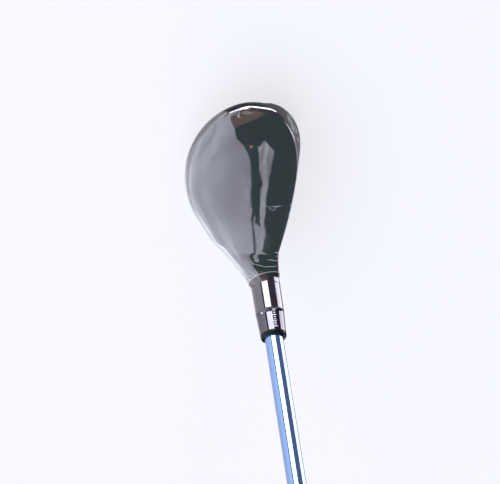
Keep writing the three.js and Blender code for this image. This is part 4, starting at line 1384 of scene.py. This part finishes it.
def make_grip(settings):
    """Rubber grip: shallow rings and a field of studs over a tapered tube, its cap and the tape below."""
    profile = [(8.4, GRIP_START)]
    for step in range(0, 181):
        height = mix(GRIP_START, GRIP_END - 0.4, step / 180)
        groove = 0.0
        for centre in (712.6, 716.0, 964.6, 961.2):
            groove = max(groove, 0.35 * math.exp(-((height - centre) / 0.9) ** 2))
        profile.append((grip_radius(height) - groove, height))
    profile += [(grip_radius(GRIP_END) - 0.2, GRIP_END), (8.4, GRIP_END)]
    points, faces = turned(profile, radius=0, segments=96)
    grip = as_object("grip_sleeve", as_mesh("grip_sleeve", on_hosel(points), faces))
    start, end = 722, 955
    studs = grown("studs", stud_tree(), {
        "Rows": settings.stud_rows, "Columns": settings.stud_columns, "Start": start * MM,
        "Length": (end - start) * MM, "Start Radius": grip_radius(start) * MM,
        "End Radius": (grip_radius(end) - 0.05) * MM, "Size": settings.stud_size,
        "Material": MATERIALS["grip_rubber"]})
    moved(studs.data, on_hosel)
    merged(grip, studs)
    shade(grip.data, 35)
    finished(grip, "shaft_assembly", "grip_rubber", "grip")
    hosel_piece("butt_cap", [
        (1.2, 975.3), (13.1, 975.3), (12.85, 975.75), (12.1, 976.7), (11.3, 977.6), (10.6, 977.9),
        (4.2, 977.9), (3.8, 977.5), (2.2, 977.5), (1.8, 977.9), (1.2, 977.9)],
        "shaft_assembly", "grip_rubber", "grip_cap", radius=0.3)
    hosel_piece("butt_tape", ring_profile(7.8, 8.1, 709, 973), "shaft_assembly", "tape", "grip_tape",
                radius=0.1)


def make_weight():
    """Sole weight, the bushing that it screws into and the washer under it."""
    points, faces = turned([(6.9, 0.6), (9, 0.6), (9, 9), (2.5, 9), (2.5, 7.8), (6.9, 7.8)], radius=0.2)
    bushing = as_object("weight_cup", as_mesh("weight_cup", on_weight(points), faces))
    shade(bushing.data)
    finished(bushing, "head", "body_black", "weight_bushing")
    points, faces = turned(ring_profile(3.2, 6, 7.0, 7.6), radius=0.2)
    washer = as_object("weight_pad", as_mesh("weight_pad", on_weight(points), faces))
    shade(washer.data)
    finished(washer, "weight_seat", "grip_rubber", "weight_washer")
    points, faces = socket_head(6.3, 0.8, 6.8, 2.6, 3.0, chamfer=0.5)
    weight = as_object("screw_weight", as_mesh("screw_weight", on_weight(points), faces))
    thread = grown("thread", bpy.data.node_groups.get("screw_thread") or thread_tree(), {
        "Turns": 4.0, "Radius": 0.00625, "Length": 0.0040, "Depth": 0.00024,
        "Material": MATERIALS["weight_steel"]})
    moved(thread.data, lambda spots: on_weight(spots + [0, 0, 2.0]))
    merged(weight, thread)
    shade(weight.data)
    finished(weight, "weight", "weight_steel", "sole_weight")


# ------------------------------------------------------------------ stage

def studio_world(settings):
    """Plain white for the camera; for mirrors a white side, a dark side, a soft box and a low strip."""
    world = bpy.data.worlds.new("studio")
    bpy.context.scene.world = world
    world.use_nodes = True
    tree = world.node_tree
    tree.nodes.clear()
    direction = put(tree, "ShaderNodeTexCoord").outputs["Generated"]
    x, y, z = put(tree, "ShaderNodeSeparateXYZ", {0: direction}).outputs
    height = calc(tree, "MAXIMUM", z, 0.05)
    ahead = calc(tree, "DIVIDE", x, height)
    aside = calc(tree, "DIVIDE", y, height)
    degrees = 180 / math.pi
    turn = calc(tree, "MULTIPLY", calc(tree, "ARCTAN2", y, x), degrees)
    rise = calc(tree, "MULTIPLY", calc(tree, "ARCSINE", z), degrees)

    # ceiling: white beyond a bent edge, dark before it
    edge = curve_of(tree, ahead, [
        (-3.0, -1.35), (-0.75, -0.30), (-0.715, -0.215), (-0.69, -0.19), (-0.665, -0.09), (-0.64, -0.03),
        (-0.61, 0.01), (-0.55, 0.07), (-0.5, 0.085), (-0.28, 0.15), (-0.10, 0.20), (0.04, 0.33),
        (0.13, 0.49), (0.38, 0.63), (0.49, 0.76), (1.8, 1.95)])
    white = span(tree, calc(tree, "SUBTRACT", aside, edge), -0.012, 0.012)
    streaks = put(tree, "ShaderNodeTexNoise", {
        "Vector": direction, "Scale": 2.6, "Detail": 1.0}).outputs["Fac"]
    uneven = span(tree, streaks, 0.35, 0.65, 0.88, 1.10)
    level = curve_of(tree, rise, [
        (-55, 0.25), (-35, 0.5), (-20, 1.3), (5, 1.12), (26, 1.42), (38, 1.32), (48, 1.18), (58, 0.92),
        (68, 0.84)])
    soft = calc(tree, "MULTIPLY", calc(tree, "MULTIPLY", uneven, level), settings.soft_light)
    white_side = scaled(tree, (0.92, 0.915, 1.09), soft)

    # lantern-shaped soft box in the dark part of the ceiling
    centre = curve_of(tree, ahead, [
        (-0.72, -0.20), (-0.64, -0.14), (-0.60, -0.12), (-0.50, -0.07), (-0.27, -0.03), (0.03, -0.015),
        (0.25, 0.0)])
    half = curve_of(tree, ahead, [
        (-0.71, 0.0), (-0.67, 0.035), (-0.60, 0.035), (-0.51, 0.045), (-0.28, 0.070), (0.0, 0.105),
        (0.05, 0.110), (0.055, 0.085), (0.24, 0.0)])
    off = calc(tree, "ABSOLUTE", calc(tree, "SUBTRACT", aside, centre))
    box_mask = span(tree, calc(tree, "SUBTRACT", half, off), 0.0, 0.012)
    box_mask = calc(tree, "MULTIPLY", box_mask, span(tree, z, 0.2, 0.3))
    bar_place = put(tree, "ShaderNodeCombineXYZ", {
        0: calc(tree, "MULTIPLY", ahead, 1.2), 1: calc(tree, "MULTIPLY", aside, 14.0)}).outputs[0]
    bars = put(tree, "ShaderNodeTexNoise", {
        "Vector": bar_place, "Scale": 1.6, "Detail": 1.0}).outputs["Fac"]
    box_light = span(tree, bars, 0.38, 0.66, 1.7, 3.1)

    # brown wall low on the toe side, and a small warm lamp
    wall_edge = curve_of(tree, ahead, [
        (0.42, 0.62), (0.48, 0.53), (0.72, 0.25), (1.17, -0.02), (3.0, -0.6)])
    brown = span(tree, calc(tree, "SUBTRACT", aside, wall_edge), -0.03, 0.05)
    brown = calc(tree, "MULTIPLY", brown, span(tree, ahead, 0.40, 0.46))
    brown = calc(tree, "MULTIPLY", brown, span(tree, rise, 6, 12))
    lamp_off = put(tree, "ShaderNodeCombineXYZ", {
        0: calc(tree, "SUBTRACT", ahead, 0.015), 1: calc(tree, "SUBTRACT", aside, 0.175)}).outputs[0]
    lamp_reach = put(tree, "ShaderNodeVectorMath", {0: lamp_off}, operation="LENGTH").outputs["Value"]
    lamp = calc(tree, "MULTIPLY", span(tree, lamp_reach, 0.015, 0.03, 1, 0), span(tree, z, 0.2, 0.3))

    # near and below the horizon: a white side, a dark side, and a thin strip round the toe
    level_low = calc(tree, "MULTIPLY", soft, span(tree, turn, 42, 47))
    behind = calc(tree, "MULTIPLY", soft, span(tree, turn, -164, -168))
    around = calc(tree, "ADD", calc(tree, "ADD", level_low, behind), 0.16)
    strip_rise = curve_of(tree, turn, [
        (-72, -51), (-55, -43), (-30, -26), (-18, -14), (-12, -12), (0, -7), (10, -3), (24, 4)])
    strip_half = curve_of(tree, turn, [(-53, 0.0), (-46, 3), (-30, 4.5), (-5, 5), (18, 6), (26, 0)])
    strip_off = calc(tree, "ABSOLUTE", calc(tree, "SUBTRACT", rise, strip_rise))
    strip = span(tree, calc(tree, "SUBTRACT", strip_half, strip_off), 0.0, 1.0)

    # what the shaft and hosel mirror: bands by direction round the shaft's axis
    along = put(tree, "ShaderNodeVectorMath", {0: direction, 1: tuple(HOSEL_AXES[2])},
                operation="DOT_PRODUCT").outputs["Value"]
    sideways = put(tree, "ShaderNodeVectorMath", {0: direction, 1: tuple(HOSEL_AXES[0])},
                   operation="DOT_PRODUCT").outputs["Value"]
    roll = calc(tree, "MULTIPLY", calc(tree, "ARCTAN2", y, sideways), degrees)
    zone = calc(tree, "MULTIPLY", span(tree, along, -0.495, -0.485), span(tree, along, -0.355, -0.365))
    bright = calc(tree, "MULTIPLY", span(tree, roll, 3, 6), span(tree, roll, 51, 48))
    strength = span(tree, along, -0.46, -0.40, settings.strip_light, 0.72 * settings.strip_light)
    bands = curve_of(tree, roll, [(-180, 1.1), (-158, 1.0), (-112, 0.8), (-98, 8), (-57, 9), (-56, 0.24),
                                  (52, 0.2), (61, 0.2), (64, 2.9), (100, 2.4), (140, 1.5), (180, 1.1)])
    bands = calc(tree, "ADD", bands, calc(tree, "MULTIPLY", bright, strength))

    dark = (0.23, 0.33, 0.35, 1)
    upper = blend_colour(tree, brown, dark, (0.95, 0.66, 0.60, 1))
    upper = blend_colour(tree, box_mask, upper, scaled(tree, (0.97, 0.97, 1.10), box_light))
    upper = blend_colour(tree, white, upper, white_side)
    upper = blend_colour(tree, lamp, upper, (3.2, 1.7, 0.9, 1))
    lower = scaled(tree, (0.95, 0.95, 1.08), around)
    blended = blend_colour(tree, span(tree, rise, 4, 14), lower, upper)
    blended = blend_colour(tree, strip, blended, (settings.strip_light,) * 3 + (1,))
    band_light = scaled(tree, (0.97, 0.97, 1.08), bands)
    violet = put(tree, "ShaderNodeVectorMath", {0: band_light, 1: (0.10, 0.0, 0.16)}, operation="ADD")
    lit = blend_colour(tree, zone, blended, violet.outputs[0])

    seen = put(tree, "ShaderNodeLightPath").outputs["Is Camera Ray"]
    colour = blend_colour(tree, seen, lit, (0.945, 0.953, 0.985, 1))
    background = put(tree, "ShaderNodeBackground", {"Color": colour, "Strength": 1.0}).outputs[0]
    tree.links.new(background, put(tree, "ShaderNodeOutputWorld").inputs["Surface"])


def studio_floor(settings):
    """Plain pale floor, lit so evenly that it hardly takes a shadow."""
    material = bpy.data.materials.new("pale_floor")
    material.use_nodes = True
    shader = shader_of(material)
    dim = tuple(0.2 * value for value in settings.floor_colour)
    shader.inputs["Base Color"].default_value = (*dim, 1)
    shader.inputs["Roughness"].default_value = 0.9
    shader.inputs["Specular IOR Level"].default_value = 0.1
    shader.inputs["Emission Color"].default_value = (*settings.floor_colour, 1)
    shader.inputs["Emission Strength"].default_value = 0.72
    rings = [[(0, 0, -0.4)]] + [circle(radius, -0.4, 64) for radius in (400, 1500, 6000)]
    points, faces = loft(rings)
    floor = as_object("floor", as_mesh("floor", points, [tuple(reversed(face)) for face in faces]))
    recalculated(floor.data)
    if floor.data.polygons[0].normal.z < 0:
        floor.data.flip_normals()
    floor.data.materials.append(material)
    floor.visible_glossy = False
    floor.visible_transmission = False


def studio_camera():
    camera = bpy.data.objects.new("camera", bpy.data.cameras.new("camera"))
    bpy.context.scene.collection.objects.link(camera)
    axes = Matrix((CAMERA_RIGHT, CAMERA_UP, CAMERA_BACK)).transposed()
    camera.matrix_world = Matrix.Translation(Vector(CAMERA_PLACE) * MM) @ axes.to_4x4()
    camera.data.sensor_width = 36
    camera.data.lens = CAMERA_LENS
    camera.data.clip_start = 0.01
    bpy.context.scene.camera = camera


# ------------------------------------------------------------------ operators

class ClubOperator:
    bl_options = {"REGISTER"}


class CLUB_OT_finishes(ClubOperator, bpy.types.Operator):
    """Makes the materials of every finish"""
    bl_idname = "club.finishes"
    bl_label = "Make finishes"

    def execute(self, context):
        make_materials(context.scene.club_head, context.scene.club_shaft)
        return {"FINISHED"}


class CLUB_OT_head(ClubOperator, bpy.types.Operator):
    """Builds the hollow head: body, crown panel and scored face"""
    bl_idname = "club.head"
    bl_label = "Build head"

    def execute(self, context):
        make_body()
        make_crown()
        make_face(context.scene.club_head)
        return {"FINISHED"}


class CLUB_OT_film(ClubOperator, bpy.types.Operator):
    """Wraps the head in clear film and presses its pleats"""
    bl_idname = "club.film"
    bl_label = "Wrap film"

    def execute(self, context):
        make_film(context.scene.club_head)
        make_pleats(context.scene.club_head)
        return {"FINISHED"}


class CLUB_OT_fittings(ClubOperator, bpy.types.Operator):
    """Builds the sleeve with its marks, the screw and the rings of the hosel"""
    bl_idname = "club.fittings"
    bl_label = "Build hosel fittings"

    def execute(self, context):
        make_sleeve()
        make_marks(context.scene.club_shaft)
        make_screw()
        make_hosel_fittings()
        return {"FINISHED"}


class CLUB_OT_shaft(ClubOperator, bpy.types.Operator):
    """Builds the tapered shaft and the plug in its tip"""
    bl_idname = "club.shaft"
    bl_label = "Build shaft"

    def execute(self, context):
        make_shaft()
        return {"FINISHED"}


class CLUB_OT_grip(ClubOperator, bpy.types.Operator):
    """Builds the studded grip, its cap and the tape under it"""
    bl_idname = "club.grip"
    bl_label = "Build grip"

    def execute(self, context):
        make_grip(context.scene.club_grip)
        return {"FINISHED"}


class CLUB_OT_weight(ClubOperator, bpy.types.Operator):
    """Builds the sole weight with its cup and washer"""
    bl_idname = "club.weight"
    bl_label = "Build sole weight"

    def execute(self, context):
        make_weight()
        return {"FINISHED"}


class CLUB_OT_stage(ClubOperator, bpy.types.Operator):
    """Sets the floor, the studio light and the camera"""
    bl_idname = "club.stage"
    bl_label = "Set stage"

    def execute(self, context):
        studio_world(context.scene.club_stage)
        studio_floor(context.scene.club_stage)
        studio_camera()
        context.scene.view_settings.view_transform = "Standard"
        return {"FINISHED"}


OPERATORS = [CLUB_OT_finishes, CLUB_OT_stage, CLUB_OT_head, CLUB_OT_film, CLUB_OT_fittings, CLUB_OT_shaft,
             CLUB_OT_grip, CLUB_OT_weight]
SETTINGS = {"club_head": HeadSettings, "club_shaft": ShaftSettings, "club_grip": GripSettings,
            "club_stage": StageSettings}


class CLUB_PT_panel(bpy.types.Panel):
    """Lists the steps that build the club"""
    bl_idname = "CLUB_PT_panel"
    bl_label = "Golf Club"
    bl_space_type = "VIEW_3D"
    bl_region_type = "UI"
    bl_category = "Golf Club"

    def draw(self, context):
        layout = self.layout
        for name, group in SETTINGS.items():
            box = layout.box()
            for label in group.__annotations__:
                box.prop(getattr(context.scene, name), label)
        for operator in OPERATORS:
            layout.operator(operator.bl_idname)


def register():
    for name, group in SETTINGS.items():
        bpy.utils.register_class(group)
        setattr(bpy.types.Scene, name, PointerProperty(type=group))
    for item in OPERATORS + [CLUB_PT_panel]:
        bpy.utils.register_class(item)


def unregister():
    for item in reversed(OPERATORS + [CLUB_PT_panel]):
        bpy.utils.unregister_class(item)
    for name, group in reversed(SETTINGS.items()):
        delattr(bpy.types.Scene, name)
        bpy.utils.unregister_class(group)


def main():
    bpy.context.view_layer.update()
    register()
    for operator in OPERATORS:
        area, name = operator.bl_idname.split(".")
        getattr(getattr(bpy.ops, area), name)()


if __name__ == "__main__":
    main()
